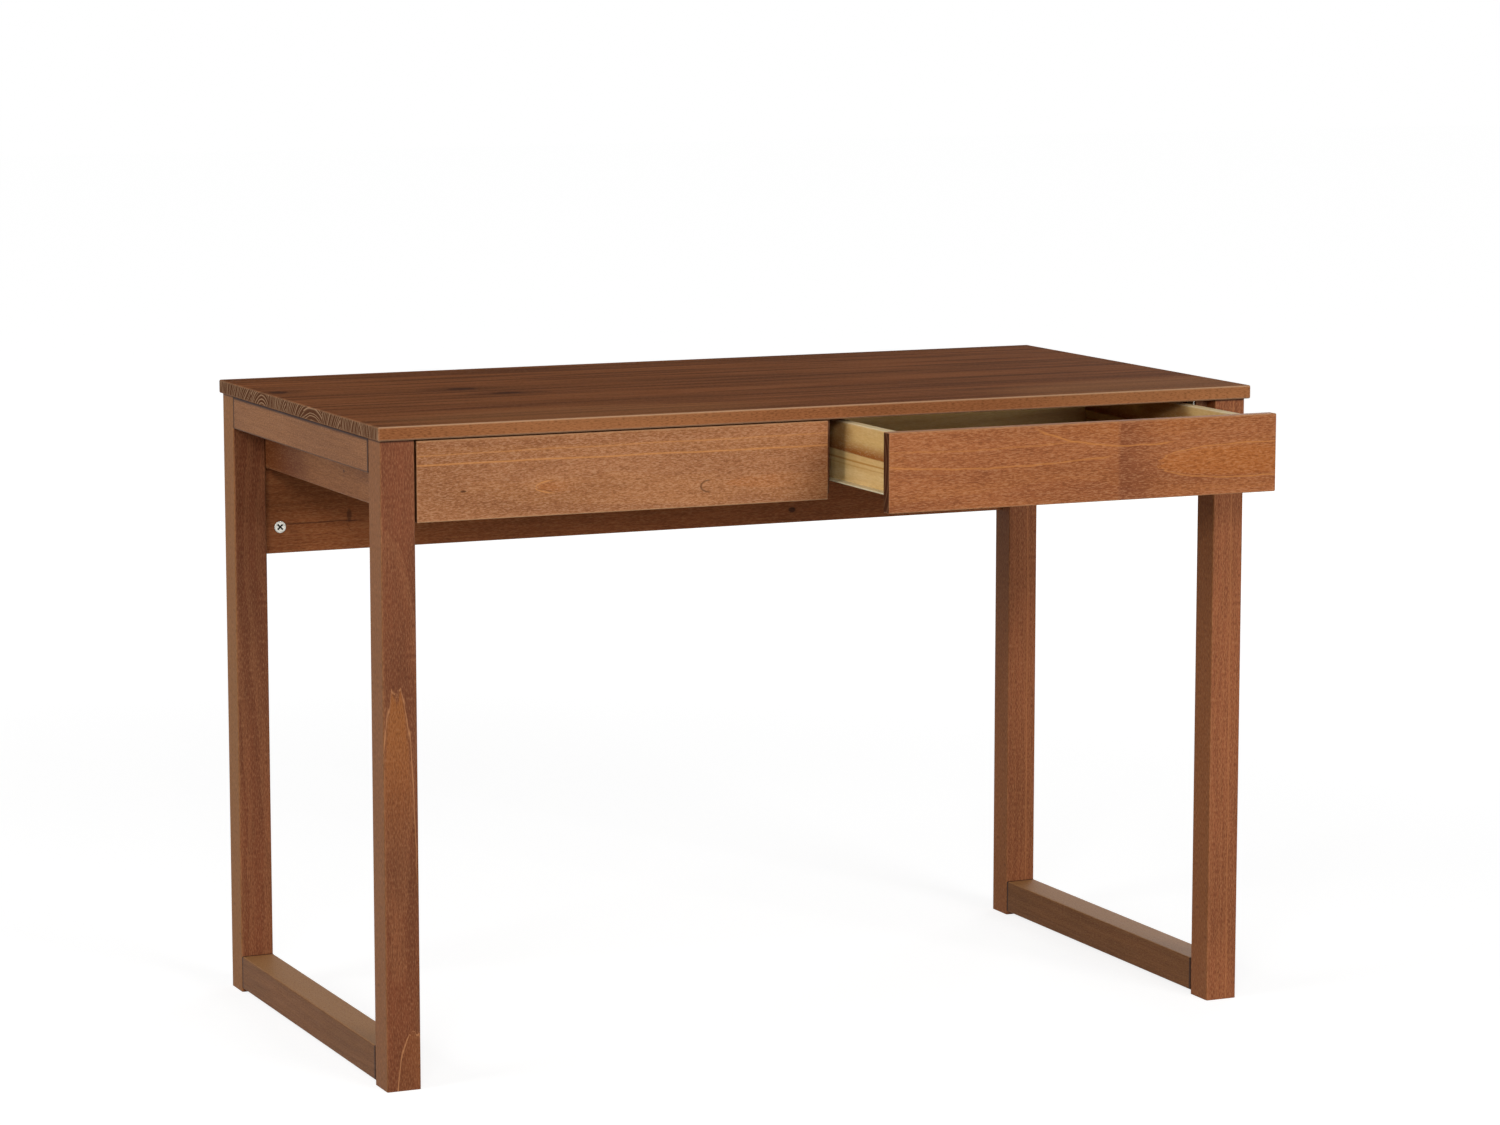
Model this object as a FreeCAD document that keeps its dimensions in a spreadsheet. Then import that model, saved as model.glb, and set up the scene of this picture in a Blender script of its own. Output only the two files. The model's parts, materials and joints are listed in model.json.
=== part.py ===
"""Kneehole desk of stained pine with two drawers, at its real size in millimetres.

Two closed leg frames carry a solid desktop. A side board inside each frame, a centre partition and
a back panel form two bays, and in each bay a drawer of raw pine runs on steel roller slides.
+X is right, +Y is back and +Z is up. The origin is on the floor, in the middle of the space that
the desk takes with its left drawer closed and its right drawer pulled out by drawer_open.
"""
import FreeCAD, Part
import os
import re

import Sketcher

doc = FreeCAD.newDocument("kneehole_desk")
sheet = doc.addObject("Spreadsheet::Sheet", "sizes")

SIZES = {
    # desktop and leg frames
    "desk_width": 1100,
    "desk_depth": 570,
    "desk_height": 748,
    "top_thickness": 16,
    "front_overhang": 6.5,
    "side_overhang": 4.5,
    "leg_section": 40,
    "rail_height": 40,
    "rail_floor_gap": 4.5,
    "arris_radius": 2,
    # side boards, centre partition and back panel
    "board_thickness": 15,
    "board_raise": 4,
    "board_setback": 5,
    "partition_thickness": 15,
    "panel_thickness": 15,
    "panel_height": 197,
    "panel_inset": 4,
    # drawer fronts and boxes
    "drawer_open": 144,
    "front_thickness": 15,
    "front_height": 91,
    "front_top_gap": 2,
    "front_leg_gap": 2,
    "front_centre_gap": 7,
    "front_radius": 1.5,
    "drawer_length": 390,
    "side_thickness": 12,
    "side_raise": 17,
    "side_drop": 3,
    "side_radius": 1,
    "back_thickness": 12,
    "bottom_thickness": 3,
    "bottom_raise": 8,
    "groove_depth": 5,
    # roller slides
    "slide_gap": 12.5,
    "slide_length": 350,
    "slide_overlap": 90,
    "slide_steel": 1.2,
    "slide_setback": 28,
    "slide_lip": 3,
    "ear_length": 14,
    "ear_height": 10,
    "member_gap": 0.5,
    "member_under": 10,
    "flange_gap": 1.5,
    "stop_drop": 5,
    "roller_radius": 9,
    "roller_inset": 13,
    "roller_room": 1.5,
    "roller_side_gap": 1,
    "pin_radius": 2,
    "pin_head_radius": 3.5,
    "pin_head_height": 1,
    "pin_head_gap": 0.4,
    "pin_play": 0.05,
    "running_gap": 0.3,
    # cam locks
    "cam_radius": 7.5,
    "cam_height": 12,
    "cam_offset": 24,
    "cam_edge": 32,
    "cam_recess_length": 9,
    "cam_recess_width": 1.6,
    "cam_recess_depth": 1.5,
    "bolt_radius": 3,
    "bolt_depth": 11,
    # dowels
    "dowel_radius": 4,
    "dowel_length": 40,
    "dowel_spacing": 20,
    "small_dowel_radius": 3,
    "small_dowel_depth": 8,
    "small_dowel_length": 24,
    "small_dowel_edge": 15,
    "small_dowel_low": 22,
    # angle brackets
    "bracket_leg": 20,
    "bracket_width": 16,
    "bracket_steel": 2,
    "bracket_inset": 3,
    "bracket_rear_inset": 50,
    "bracket_hole": 13,
    # screws
    "screw_radius": 2,
    "screw_length": 30,
    "screw_head_radius": 4,
    "screw_head_height": 3,
    "screw_edge": 30,
    "screw_spacing": 23,
    "screw_leg_inset": 10,
    "partition_screw_length": 40,
    "small_screw_radius": 1.7,
    "small_screw_head_radius": 3.2,
    "bracket_screw_length": 10,
    "bracket_screw_head": 1.8,
    "slide_screw_length": 6,
    "slide_screw_head": 0.6,
    "slide_screw_inset": 60,
    "member_screw_inset": 50,
    # fits
    "fit_play": 0.05,
    "groove_play": 0.2,
    "hole_end_gap": 0.5,
}

# Places worked out from the sizes. Along X they are distances from the centre plane.
PLACES = {
    "under_top": "desk_height - top_thickness",
    "leg_depth": "desk_depth - front_overhang",
    "front_plane": "(drawer_open - leg_depth) / 2",
    "rear_plane": "front_plane + leg_depth",
    "leg_outer": "desk_width / 2 - side_overhang",
    "leg_inner": "leg_outer - leg_section",
    "leg_middle": "leg_outer - leg_section / 2",
    "rail_front": "front_plane + leg_section",
    "rail_rear": "rear_plane - leg_section",
    "top_rail_low": "under_top - rail_height",
    "front_low": "under_top - front_top_gap - front_height",
    "front_top": "front_low + front_height",
    "front_near": "front_centre_gap / 2",
    "front_far": "leg_inner - front_leg_gap",
    "board_front": "front_plane + front_thickness + board_setback",
    "board_low": "front_low + board_raise",
    "board_inner": "leg_inner - board_thickness",
    "partition_half": "partition_thickness / 2",
    "panel_front": "rear_plane - panel_inset - panel_thickness",
    "panel_low": "under_top - panel_height",
    "box_near": "partition_half + slide_gap",
    "box_far": "board_inner - slide_gap",
    "side_low": "front_low + side_raise",
    "side_top": "front_top - side_drop",
    "bottom_low": "side_low + bottom_raise",
    "bottom_top": "bottom_low + bottom_thickness",
    "back_low": "bottom_top + groove_play",
    "slide_start": "board_front + slide_setback",
    "slide_end": "slide_start + slide_length",
    "slide_travel": "slide_length - slide_overlap",
    "channel_reach": "slide_gap - slide_steel - flange_gap",
    "member_low": "side_low - slide_steel",
    "member_front": "front_plane + front_thickness + member_gap",
    "runner_top": "side_low + slide_lip",
    "runner_under": "runner_top - slide_steel",
    "front_roller_y": "slide_start + roller_inset",
    "front_roller_z": "runner_under - running_gap - roller_radius",
    "rear_roller_y": "member_front + slide_length - roller_inset",
    "rear_roller_z": "(member_low + runner_top) / 2",
    "track_top": "rear_roller_z - roller_radius - running_gap",
    "track_low": "track_top - slide_steel",
    "channel_under": "rear_roller_z + roller_radius + running_gap",
    "channel_top": "channel_under + slide_steel",
    "stop_low": "channel_under - stop_drop",
    "stop_chord": "sqrt(roller_radius ^ 2 - (stop_low - rear_roller_z) ^ 2)",
    "stop_rear": "rear_roller_y - slide_travel - stop_chord - running_gap",
    "front_roller_near": "slide_steel + roller_side_gap",
    "front_head_far": "slide_gap - slide_steel - pin_head_gap",
    "front_head_near": "front_head_far - pin_head_height",
    "front_roller_far": "front_head_near - pin_head_gap",
    "rear_head_near": "slide_steel + slide_screw_head + pin_head_gap",
    "rear_head_far": "rear_head_near + pin_head_height",
    "rear_roller_near": "rear_head_far + pin_head_gap",
    "rear_roller_far": "slide_gap - slide_steel - roller_side_gap",
}

SIDES = {"left": -1, "right": 1}
PULLED = {"left": "0", "right": "drawer_open"}
SLIDES = ("outer", "inner")
FRAME_ENDS = {"front": "front_plane", "rear": "rail_rear"}
TURNS = {
    "x": FreeCAD.Rotation(FreeCAD.Vector(0, 1, 0), 90),
    "y": FreeCAD.Rotation(FreeCAD.Vector(1, 0, 0), -90),
    "z": FreeCAD.Rotation(),
}
CROSS_ANGLE = 45
SKETCH_START = 100.0

blanks = {}
groups = {}
holes = {}


def fill_sheet():
    """One row per size: its name, and its value under that name."""
    for row, (name, value) in enumerate(SIZES.items(), start=1):
        sheet.set(f"A{row}", name)
        sheet.set(f"B{row}", str(value))
        sheet.setAlias(f"B{row}", name)
    doc.recompute()


def bind(text):
    """An expression on the sheet's cells, with every place written out."""

    def swap(match):
        word = match.group(0)
        if word in PLACES:
            return f"({bind(PLACES[word])})"
        return f"sizes.{word}" if word in SIZES else word

    return re.sub(r"[a-z]\w*", swap, text)


def place(item, x, y, z):
    for axis, text in zip("xyz", (x, y, z)):
        item.setExpression(f"Placement.Base.{axis}", bind(text))


def box(name, x_span, y_span, z_span):
    """A plain block. Each span is a start and a size."""
    item = doc.addObject("Part::Box", name)
    for side, span in zip(("Length", "Width", "Height"), (x_span, y_span, z_span)):
        item.setExpression(side, bind(span[1]))
    place(item, x_span[0], y_span[0], z_span[0])
    return item


def rod(name, axis, span, cross, radius):
    """A cylinder along one axis. cross gives its place on the other two, in X, Y, Z order."""
    item = doc.addObject("Part::Cylinder", name)
    item.setExpression("Radius", bind(radius))
    item.setExpression("Height", bind(span[1]))
    item.Placement.Rotation = TURNS[axis]
    where = list(cross)
    where.insert("xyz".index(axis), span[0])
    place(item, *where)
    return item


def fuse(name, items):
    item = doc.addObject("Part::MultiFuse", name)
    item.Shapes = items
    item.Refine = True
    return item


def group(name, items):
    item = doc.addObject("Part::Compound", name)
    item.Links = items
    return item


def cut(name, base, tools):
    item = doc.addObject("Part::Cut", name)
    item.Base = base
    item.Tool = tools[0] if len(tools) == 1 else group(f"{name}_tools", tools)
    return item


def edges_along(shape, axes):
    """Names of the straight edges that run along the given axes."""
    names = []
    for number, edge in enumerate(shape.Edges, start=1):
        run = edge.Vertexes[1].Point - edge.Vertexes[0].Point
        longest = max("xyz", key=lambda axis: abs(getattr(run, axis)))
        if longest in axes:
            names.append(f"Edge{number}")
    return names


def outline(sketch, width, depth):
    """A rectangle from the sketch's origin."""
    turns = ((0, 0), (1, 0), (1, 1), (0, 1))
    corners = [FreeCAD.Vector(a, b, 0) * SKETCH_START for a, b in turns]
    for number in range(4):
        sketch.addGeometry(Part.LineSegment(corners[number], corners[(number + 1) % 4]), False)
    for number in range(4):
        sketch.addConstraint(Sketcher.Constraint("Coincident", number, 2, (number + 1) % 4, 1))
        lie = "Vertical" if number % 2 else "Horizontal"
        sketch.addConstraint(Sketcher.Constraint(lie, number))
    sketch.addConstraint(Sketcher.Constraint("Coincident", 0, 1, -1, 1))
    for line, kind, label, size in ((0, "DistanceX", "width", width), (1, "DistanceY", "depth", depth)):
        number = sketch.addConstraint(Sketcher.Constraint(kind, line, 1, line, 2, SKETCH_START))
        sketch.renameConstraint(number, label)
        sketch.setExpression(f"Constraints.{label}", bind(size))


def board(node, x_span, y_span, z_span, radius, rounded):
    """A sawn board, with the arrises along the axes in rounded eased to the radius."""
    body = doc.addObject("PartDesign::Body", f"{node}_blank")
    sketch = body.newObject("Sketcher::SketchObject", f"{node}_outline")
    plane = next(item for item in body.Origin.OriginFeatures if item.Role == "XY_Plane")
    sketch.AttachmentSupport = [(plane, "")]
    sketch.MapMode = "FlatFace"
    outline(sketch, x_span[1], y_span[1])
    pad = body.newObject("PartDesign::Pad", f"{node}_pad")
    pad.Profile = sketch
    pad.setExpression("Length", bind(z_span[1]))
    doc.recompute()
    easing = body.newObject("PartDesign::Fillet", f"{node}_easing")
    easing.Base = (pad, edges_along(pad.Shape, rounded))
    easing.setExpression("Radius", bind(radius))
    body.Tip = easing
    place(body, x_span[0], y_span[0], z_span[0])
    blanks[node] = body


def bore(nodes, tool):
    for node in nodes:
        holes.setdefault(node, []).append(tool)


def across(side, near, far):
    """Start and width along X of a span between two distances from the centre plane."""
    start = near if SIDES[side] > 0 else f"-({far})"
    return start, f"({far}) - ({near})"


def between(low, high):
    return low, f"({high}) - ({low})"


def centre_x(side, distance):
    return f"{SIDES[side]} * ({distance})"


def from_face(side, slide, near, far):
    """Start and width along X of a span measured from the face that carries a slide."""
    if slide == "outer":
        return across(side, f"board_inner - ({far})", f"board_inner - ({near})")
    return across(side, f"partition_half + ({near})", f"partition_half + ({far})")


def dowel(label, axis, span, cross, radius, nodes):
    """A dowel in one group, and its blind holes in the two nodes that it joins."""
    number = len(groups.setdefault(label, []))
    start, length = span
    groups[label].append(rod(f"{label}_{number}", axis, span, cross, radius))
    hole_span = (f"{start} - hole_end_gap", f"{length} + 2 * hole_end_gap")
    bore(nodes, rod(f"{label}_{number}_hole", axis, hole_span, cross, f"{radius} + fit_play"))


def screw(label, axis, head, shank, cross, radii, sunk_in, driven_in):
    """A screw in one group, with its head's and its shank's holes. radii is shank, then head."""
    number = len(groups.setdefault(label, []))
    name = f"{label}_{number}"
    solids = [
        rod(f"{name}_shank", axis, shank, cross, radii[0]),
        rod(f"{name}_head", axis, head, cross, radii[1]),
    ]
    groups[label].append(fuse(name, solids))
    bore(driven_in, rod(f"{name}_hole", axis, shank, cross, f"{radii[0]} + fit_play"))
    if sunk_in:
        bore(sunk_in, rod(f"{name}_sink", axis, head, cross, f"{radii[1]} + fit_play"))


def desktop():
    board(
        "desktop",
        ("-desk_width / 2", "desk_width"),
        ("front_plane - front_overhang", "desk_depth"),
        ("under_top", "top_thickness"),
        "arris_radius",
        "xyz",
    )


def leg_frame(side):
    """Two legs joined by a top and a bottom rail, with two dowels in each joint."""
    x_span = across(side, "leg_inner", "leg_outer")
    for end, start in FRAME_ENDS.items():
        leg = f"{side}_{end}_leg"
        board(leg, x_span, (start, "leg_section"), ("0", "under_top"), "arris_radius", "z")
    rails = {"top_rail": "top_rail_low", "bottom_rail": "rail_floor_gap"}
    for rail, low in rails.items():
        node = f"{side}_{rail}"
        y_span = between("rail_front", "rail_rear")
        board(node, x_span, y_span, (low, "rail_height"), "arris_radius", "y")
        for end, joint in {"front": "rail_front", "rear": "rail_rear"}.items():
            for offset in ("-dowel_spacing / 2", "dowel_spacing / 2"):
                dowel(
                    "frame_dowels",
                    "y",
                    (f"{joint} - dowel_length / 2", "dowel_length"),
                    (centre_x(side, "leg_middle"), f"{low} + rail_height / 2 + {offset}"),
                    "dowel_radius",
                    (node, f"{side}_{end}_leg"),
                )


def side_board(side):
    """The board inside a leg frame, screwed to both legs from the drawer's side."""
    node = f"{side}_side_board"
    y_span = between("board_front", "panel_front")
    z_span = between("board_low", "under_top")
    board(node, across(side, "board_inner", "leg_inner"), y_span, z_span, "arris_radius", "y")
    screws = {"front": "rail_front - screw_leg_inset", "rear": "rail_rear + screw_leg_inset"}
    for end, y in screws.items():
        for drop in ("screw_edge", "screw_edge + screw_spacing"):
            screw(
                "board_screws",
                "x",
                across(side, "board_inner", "board_inner + screw_head_height"),
                across(side, "board_inner", "board_inner + screw_length"),
                (y, f"under_top - ({drop})"),
                ("screw_radius", "screw_head_radius"),
                (node,),
                (node, f"{side}_{end}_leg"),
            )


def partition():
    """The board between the two bays, screwed on through the back panel."""
    node = "centre_partition"
    x_span = ("-partition_half", "partition_thickness")
    y_span = between("board_front", "panel_front")
    board(node, x_span, y_span, between("board_low", "under_top"), "arris_radius", "y")
    panel_rear = "panel_front + panel_thickness"
    for drop in ("screw_edge", "screw_edge + screw_spacing"):
        screw(
            "partition_screws",
            "y",
            (f"{panel_rear} - screw_head_height", "screw_head_height"),
            (f"{panel_rear} - partition_screw_length", "partition_screw_length"),
            ("0", f"under_top - ({drop})"),
            ("screw_radius", "screw_head_radius"),
            ("back_panel",),
            (node, "back_panel"),
        )


def back_panel():
    """The panel between the rear legs, drawn to them by two cam locks at each end."""
    x_span = ("-leg_inner", "2 * leg_inner")
    y_span = ("panel_front", "panel_thickness")
    board("back_panel", x_span, y_span, ("panel_low", "panel_height"), "arris_radius", "x")
    for side in SIDES:
        for z in ("panel_low + cam_edge", "under_top - cam_edge"):
            cam_joint(side, z)


def cam_joint(side, z):
    """One cam in the panel's front face, and the bolt that runs from the leg into it."""
    number = len(groups.setdefault("cam_locks", []))
    name = f"cam_locks_{number}"
    centre = "leg_inner - cam_offset"
    bolt_y = "panel_front + panel_thickness / 2"
    bolt_span = across(side, centre, "leg_inner + bolt_depth")
    bolt = rod(f"cam_bolts_{number}", "x", bolt_span, (bolt_y, z), "bolt_radius")
    groups.setdefault("cam_bolts", []).append(bolt)
    bolt_hole = across(side, centre, "leg_inner + bolt_depth + hole_end_gap")
    hole = rod(f"{name}_bolt_hole", "x", bolt_hole, (bolt_y, z), "bolt_radius + fit_play")
    bore((f"{side}_rear_leg", "back_panel"), hole)
    pocket_span = ("panel_front", "cam_height + hole_end_gap")
    pocket_cross = (centre_x(side, centre), z)
    pocket = rod(f"{name}_pocket", "y", pocket_span, pocket_cross, "cam_radius + fit_play")
    bore(("back_panel",), pocket)

    disc = rod(f"{name}_disc", "z", ("0", "cam_height"), ("0", "0"), "cam_radius")
    slot = across(side, "-hole_end_gap", "cam_radius + hole_end_gap")
    tools = [rod(f"{name}_slot", "x", slot, ("0", "panel_thickness / 2"), "bolt_radius + fit_play")]
    for angle in (-CROSS_ANGLE, CROSS_ANGLE):
        tools.append(recess(f"{name}_recess_{len(tools)}", angle))
    cam = cut(name, disc, tools)
    cam.Placement.Rotation = TURNS["y"]
    place(cam, centre_x(side, centre), "panel_front", z)
    groups["cam_locks"].append(cam)


def recess(name, angle):
    """One bar of a cam's driver cross, turned about the cam's axis."""
    item = doc.addObject("Part::Box", name)
    item.setExpression("Length", bind("cam_recess_length"))
    item.setExpression("Width", bind("cam_recess_width"))
    item.setExpression("Height", bind("cam_recess_depth"))
    item.Placement.Rotation = FreeCAD.Rotation(FreeCAD.Vector(0, 0, 1), angle)
    half_length = "cam_recess_length / 2"
    half_width = "cam_recess_width / 2"
    along = f"-{half_length} * cos({angle}) + {half_width} * sin({angle})"
    aside = f"-{half_length} * sin({angle}) - {half_width} * cos({angle})"
    place(item, along, aside, "0")
    return item


def bracket(name, carrier, x_of, y):
    """A steel angle under the desktop, with one screw into the desktop and one into its carrier.

    x_of turns a span measured from the carrier's face into a start and a width along X.
    """
    y_span = (y, "bracket_width")
    middle = f"{y} + bracket_width / 2"
    upright_z = "under_top - bracket_hole"
    upright_span = between("under_top - bracket_leg", "under_top")
    ledge_span = between("under_top - bracket_steel", "under_top")
    upright = box(f"{name}_upright", x_of("0", "bracket_steel"), y_span, upright_span)
    ledge = box(f"{name}_ledge", x_of("0", "bracket_leg"), y_span, ledge_span)
    angle = fuse(f"{name}_angle", [upright, ledge])
    angle_holes = f"{name}_holes"
    radii = ("small_screw_radius", "small_screw_head_radius")
    screw(
        "bracket_screws",
        "x",
        x_of("bracket_steel", "bracket_steel + bracket_screw_head"),
        x_of("bracket_steel - bracket_screw_length", "bracket_steel"),
        (middle, upright_z),
        radii,
        (),
        (carrier, angle_holes),
    )
    start, width = x_of("bracket_hole", "bracket_hole")
    screw(
        "bracket_screws",
        "z",
        ("under_top - bracket_steel - bracket_screw_head", "bracket_screw_head"),
        ("under_top - bracket_steel", "bracket_screw_length"),
        (start, middle),
        radii,
        (),
        ("desktop", angle_holes),
    )
    groups.setdefault("angle_brackets", []).append(cut(name, angle, holes.pop(angle_holes)))


def brackets():
    """A front and a rear bracket on each side board, and on the partition's left face."""
    carriers = {
        "left_side_board": lambda near, far: from_face("left", "outer", near, far),
        "right_side_board": lambda near, far: from_face("right", "outer", near, far),
        "centre_partition": lambda near, far: from_face("left", "inner", near, far),
    }
    rows = {
        "front": "board_front + bracket_inset",
        "rear": "panel_front - bracket_rear_inset - bracket_width",
    }
    for carrier, x_of in carriers.items():
        for row, y in rows.items():
            bracket(f"{carrier}_{row}_bracket", carrier, x_of, y)


def drawer(side):
    """A front, two grooved sides, a back and a bottom let into the grooves."""
    pull = PULLED[side]
    face = f"front_plane - {pull}"
    seat = f"{face} + front_thickness"
    rear = f"{seat} + drawer_length"
    node = f"{side}_drawer"
    board(
        f"{node}_front",
        across(side, "front_near", "front_far"),
        (face, "front_thickness"),
        ("front_low", "front_height"),
        "front_radius",
        "xyz",
    )
    walls = {
        "inner": ("box_near", "box_near + side_thickness"),
        "outer": ("box_far - side_thickness", "box_far"),
    }
    z_span = between("side_low", "side_top")
    back_y = f"{rear} - back_thickness"
    board(
        f"{node}_back",
        across(side, walls["inner"][1], walls["outer"][0]),
        (back_y, "back_thickness"),
        between("back_low", "side_top"),
        "side_radius",
        "x",
    )
    sheet_edges = (
        f"{walls['inner'][1]} - groove_depth + groove_play",
        f"{walls['outer'][0]} + groove_depth - groove_play",
    )
    blanks[f"{node}_bottom"] = box(
        f"{node}_bottom_blank",
        across(side, *sheet_edges),
        between(f"{seat} - groove_depth + groove_play", rear),
        ("bottom_low", "bottom_thickness"),
    )
    groove_edges = (f"{walls['inner'][1]} - groove_depth", f"{walls['outer'][0]} + groove_depth")
    groove_tool = box(
        f"{node}_groove",
        across(side, *groove_edges),
        between(f"{seat} - groove_depth", f"{rear} + hole_end_gap"),
        between("bottom_low - groove_play", "bottom_top + groove_play"),
    )
    bore((f"{node}_front", f"{node}_inner_side", f"{node}_outer_side"), groove_tool)
    for wall, (near, far) in walls.items():
        side_node = f"{node}_{wall}_side"
        board(side_node, across(side, near, far), (seat, "drawer_length"), z_span, "side_radius", "y")
        middle = centre_x(side, f"{near} + side_thickness / 2")
        for z in ("side_low + small_dowel_low", "side_top - small_dowel_edge"):
            front_span = (f"{seat} - small_dowel_depth", "small_dowel_length")
            nodes = (f"{node}_front", side_node)
            dowel(f"{node}_dowels", "y", front_span, (middle, z), "small_dowel_radius", nodes)
        sunk = f"{near} + side_thickness - small_dowel_depth"
        ends = (sunk, f"{sunk} + small_dowel_length")
        if wall == "outer":
            ends = (f"{near} + small_dowel_depth - small_dowel_length", f"{near} + small_dowel_depth")
        for z in ("back_low + small_dowel_edge", "side_top - small_dowel_edge"):
            cross = (f"{back_y} + back_thickness / 2", z)
            nodes = (f"{node}_back", side_node)
            dowel(f"{node}_dowels", "x", across(side, *ends), cross, "small_dowel_radius", nodes)


def cabinet_slide(side, slide):
    """The fixed channel of a slide: web, two flanges, end stops and the front roller's pin."""
    name = f"{side}_{slide}_cabinet_slide"
    carrier = f"{side}_side_board" if slide == "outer" else "centre_partition"

    def span(near, far):
        return from_face(side, slide, near, far)

    length = between("slide_start", "slide_end")
    flange = span("0", "channel_reach")
    track_start = "front_roller_y + roller_radius + roller_room"
    stop_start = "stop_rear - slide_steel"
    shut_stop = "rear_roller_y + roller_radius + running_gap"
    pin = ("front_roller_y", "front_roller_z")
    pieces = [
        box(f"{name}_web", span("0", "slide_steel"), length, between("track_low", "channel_top")),
        box(f"{name}_track", flange, between(track_start, "slide_end"), between("track_low", "track_top")),
        box(f"{name}_cover", flange, length, between("channel_under", "channel_top")),
        box(f"{name}_stop", flange, (stop_start, "slide_steel"), between("stop_low", "channel_top")),
        box(f"{name}_shut_stop", flange, (shut_stop, "slide_steel"), between("track_low", "channel_top")),
        rod(f"{name}_pin", "x", span("0", "front_head_far"), pin, "pin_radius"),
        rod(f"{name}_pin_head", "x", span("front_head_near", "front_head_far"), pin, "pin_head_radius"),
    ]
    blanks[name] = fuse(f"{name}_blank", pieces)
    first = "slide_start + slide_screw_inset"
    last = "slide_end - slide_screw_inset"
    for y in (first, f"({first} + {last}) / 2", last):
        screw(
            "slide_screws",
            "x",
            span("slide_steel", "slide_steel + slide_screw_head"),
            span("slide_steel - slide_screw_length", "slide_steel"),
            (y, "rear_roller_z"),
            ("small_screw_radius", "small_screw_head_radius"),
            (),
            (name, carrier),
        )


def drawer_slide(side, slide):
    """The moving runner of a slide, under a drawer side, with an ear for the rear roller's pin."""
    name = f"{side}_{slide}_drawer_slide"
    carrier = f"{side}_drawer_{slide}_side"
    pull = PULLED[side]

    def span(near, far):
        return from_face(side, slide, near, far)

    start = f"member_front - {pull}"
    roller_y = f"rear_roller_y - {pull}"
    length = (start, "slide_length")
    web = "slide_gap - slide_steel"
    runner_end = f"{roller_y} - roller_radius - roller_room"
    pin = (roller_y, "rear_roller_z")
    under = span(web, "slide_gap + member_under")
    runner = span("slide_steel + flange_gap", "slide_gap")
    runner_length = between(start, runner_end)
    ear_length = (f"{roller_y} - ear_length / 2", "ear_length")
    ear_height = ("rear_roller_z - ear_height / 2", "ear_height")
    pieces = [
        box(f"{name}_web", span(web, "slide_gap"), length, between("member_low", "runner_top")),
        box(f"{name}_under", under, length, between("member_low", "side_low")),
        box(f"{name}_runner", runner, runner_length, between("runner_under", "runner_top")),
        box(f"{name}_ear", span(web, "slide_gap"), ear_length, ear_height),
        rod(f"{name}_pin", "x", span("rear_head_near", "slide_gap"), pin, "pin_radius"),
        rod(f"{name}_pin_head", "x", span("rear_head_near", "rear_head_far"), pin, "pin_head_radius"),
    ]
    blanks[name] = fuse(f"{name}_blank", pieces)
    x, width = span("slide_gap + side_thickness / 2", "slide_gap + side_thickness / 2")
    for y in (f"{start} + member_screw_inset", f"{start} + slide_length - 2 * member_screw_inset"):
        screw(
            f"{side}_member_screws",
            "z",
            ("member_low - slide_screw_head", "slide_screw_head"),
            ("member_low", "slide_screw_length"),
            (x, y),
            ("small_screw_radius", "small_screw_head_radius"),
            (),
            (name, carrier),
        )


def rollers(side, slide):
    """The two rollers of a slide, each bored to turn on its pin."""
    pull = PULLED[side]
    places = {
        "front": ("front_roller_near", "front_roller_far", "front_roller_y", "front_roller_z"),
        "rear": ("rear_roller_near", "rear_roller_far", f"rear_roller_y - {pull}", "rear_roller_z"),
    }
    for end, (near, far, y, z) in places.items():
        node = f"{side}_{slide}_{end}_roller"
        x_span = from_face(side, slide, near, far)
        blanks[node] = rod(f"{node}_blank", "x", x_span, (y, z), "roller_radius")
        bore((node,), rod(f"{node}_bore", "x", x_span, (y, z), "pin_radius + pin_play"))


def build():
    fill_sheet()
    desktop()
    back_panel()
    partition()
    for side in SIDES:
        leg_frame(side)
        side_board(side)
        drawer(side)
        for slide in SLIDES:
            cabinet_slide(side, slide)
            drawer_slide(side, slide)
            rollers(side, slide)
    brackets()


def finished():
    """Every sub-part by name: each blank with its holes, and each group of fasteners."""
    nodes = {}
    for node, blank in blanks.items():
        if node in holes:
            nodes[node] = cut(node, blank, holes[node])
        else:
            blank.Label = node
            nodes[node] = blank
    for label, items in groups.items():
        nodes[label] = group(label, items)
    doc.recompute()
    return nodes


def check(nodes):
    """Stops if anything failed, if a hole missed its piece or if a piece fell apart."""
    for item in doc.Objects:
        if "Invalid" in item.State or "Error" in item.State:
            raise RuntimeError(f"{item.Name} failed: {item.State}")
    for node, item in nodes.items():
        shape = item.Shape
        if shape.isNull() or not shape.isValid():
            raise RuntimeError(f"{node} has no valid shape")
        wanted = len(groups[node]) if node in groups else 1
        if len(shape.Solids) != wanted:
            raise RuntimeError(f"{node} has {len(shape.Solids)} solids, not {wanted}")
        if node in holes:
            for tool in holes[node]:
                if tool.Shape.common(blanks[node].Shape).Volume <= 0:
                    raise RuntimeError(f"{tool.Name} cuts nothing from {node}")


def export(nodes):
    os.makedirs("parts", exist_ok=True)
    for node, item in nodes.items():
        item.Shape.exportStep(os.path.join("parts", f"{node}.step"))
    print(len(nodes), "sub-parts written")


build()
desk = finished()
check(desk)
export(desk)
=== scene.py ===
# %% [markdown]
# # A kneehole desk of stained pine
# The desk is two closed leg frames under a thin top, with two drawers on roller slides. The packed
# CAD model is the frame of this scene: every board is already at its real size and place, so Blender
# adds what the CAD leaves out. That is the wood itself, the small steel and nylon pieces, the light
# and the camera.

# %% Load the frame
import json
import math

import bpy
from mathutils import Matrix, Vector


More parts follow.
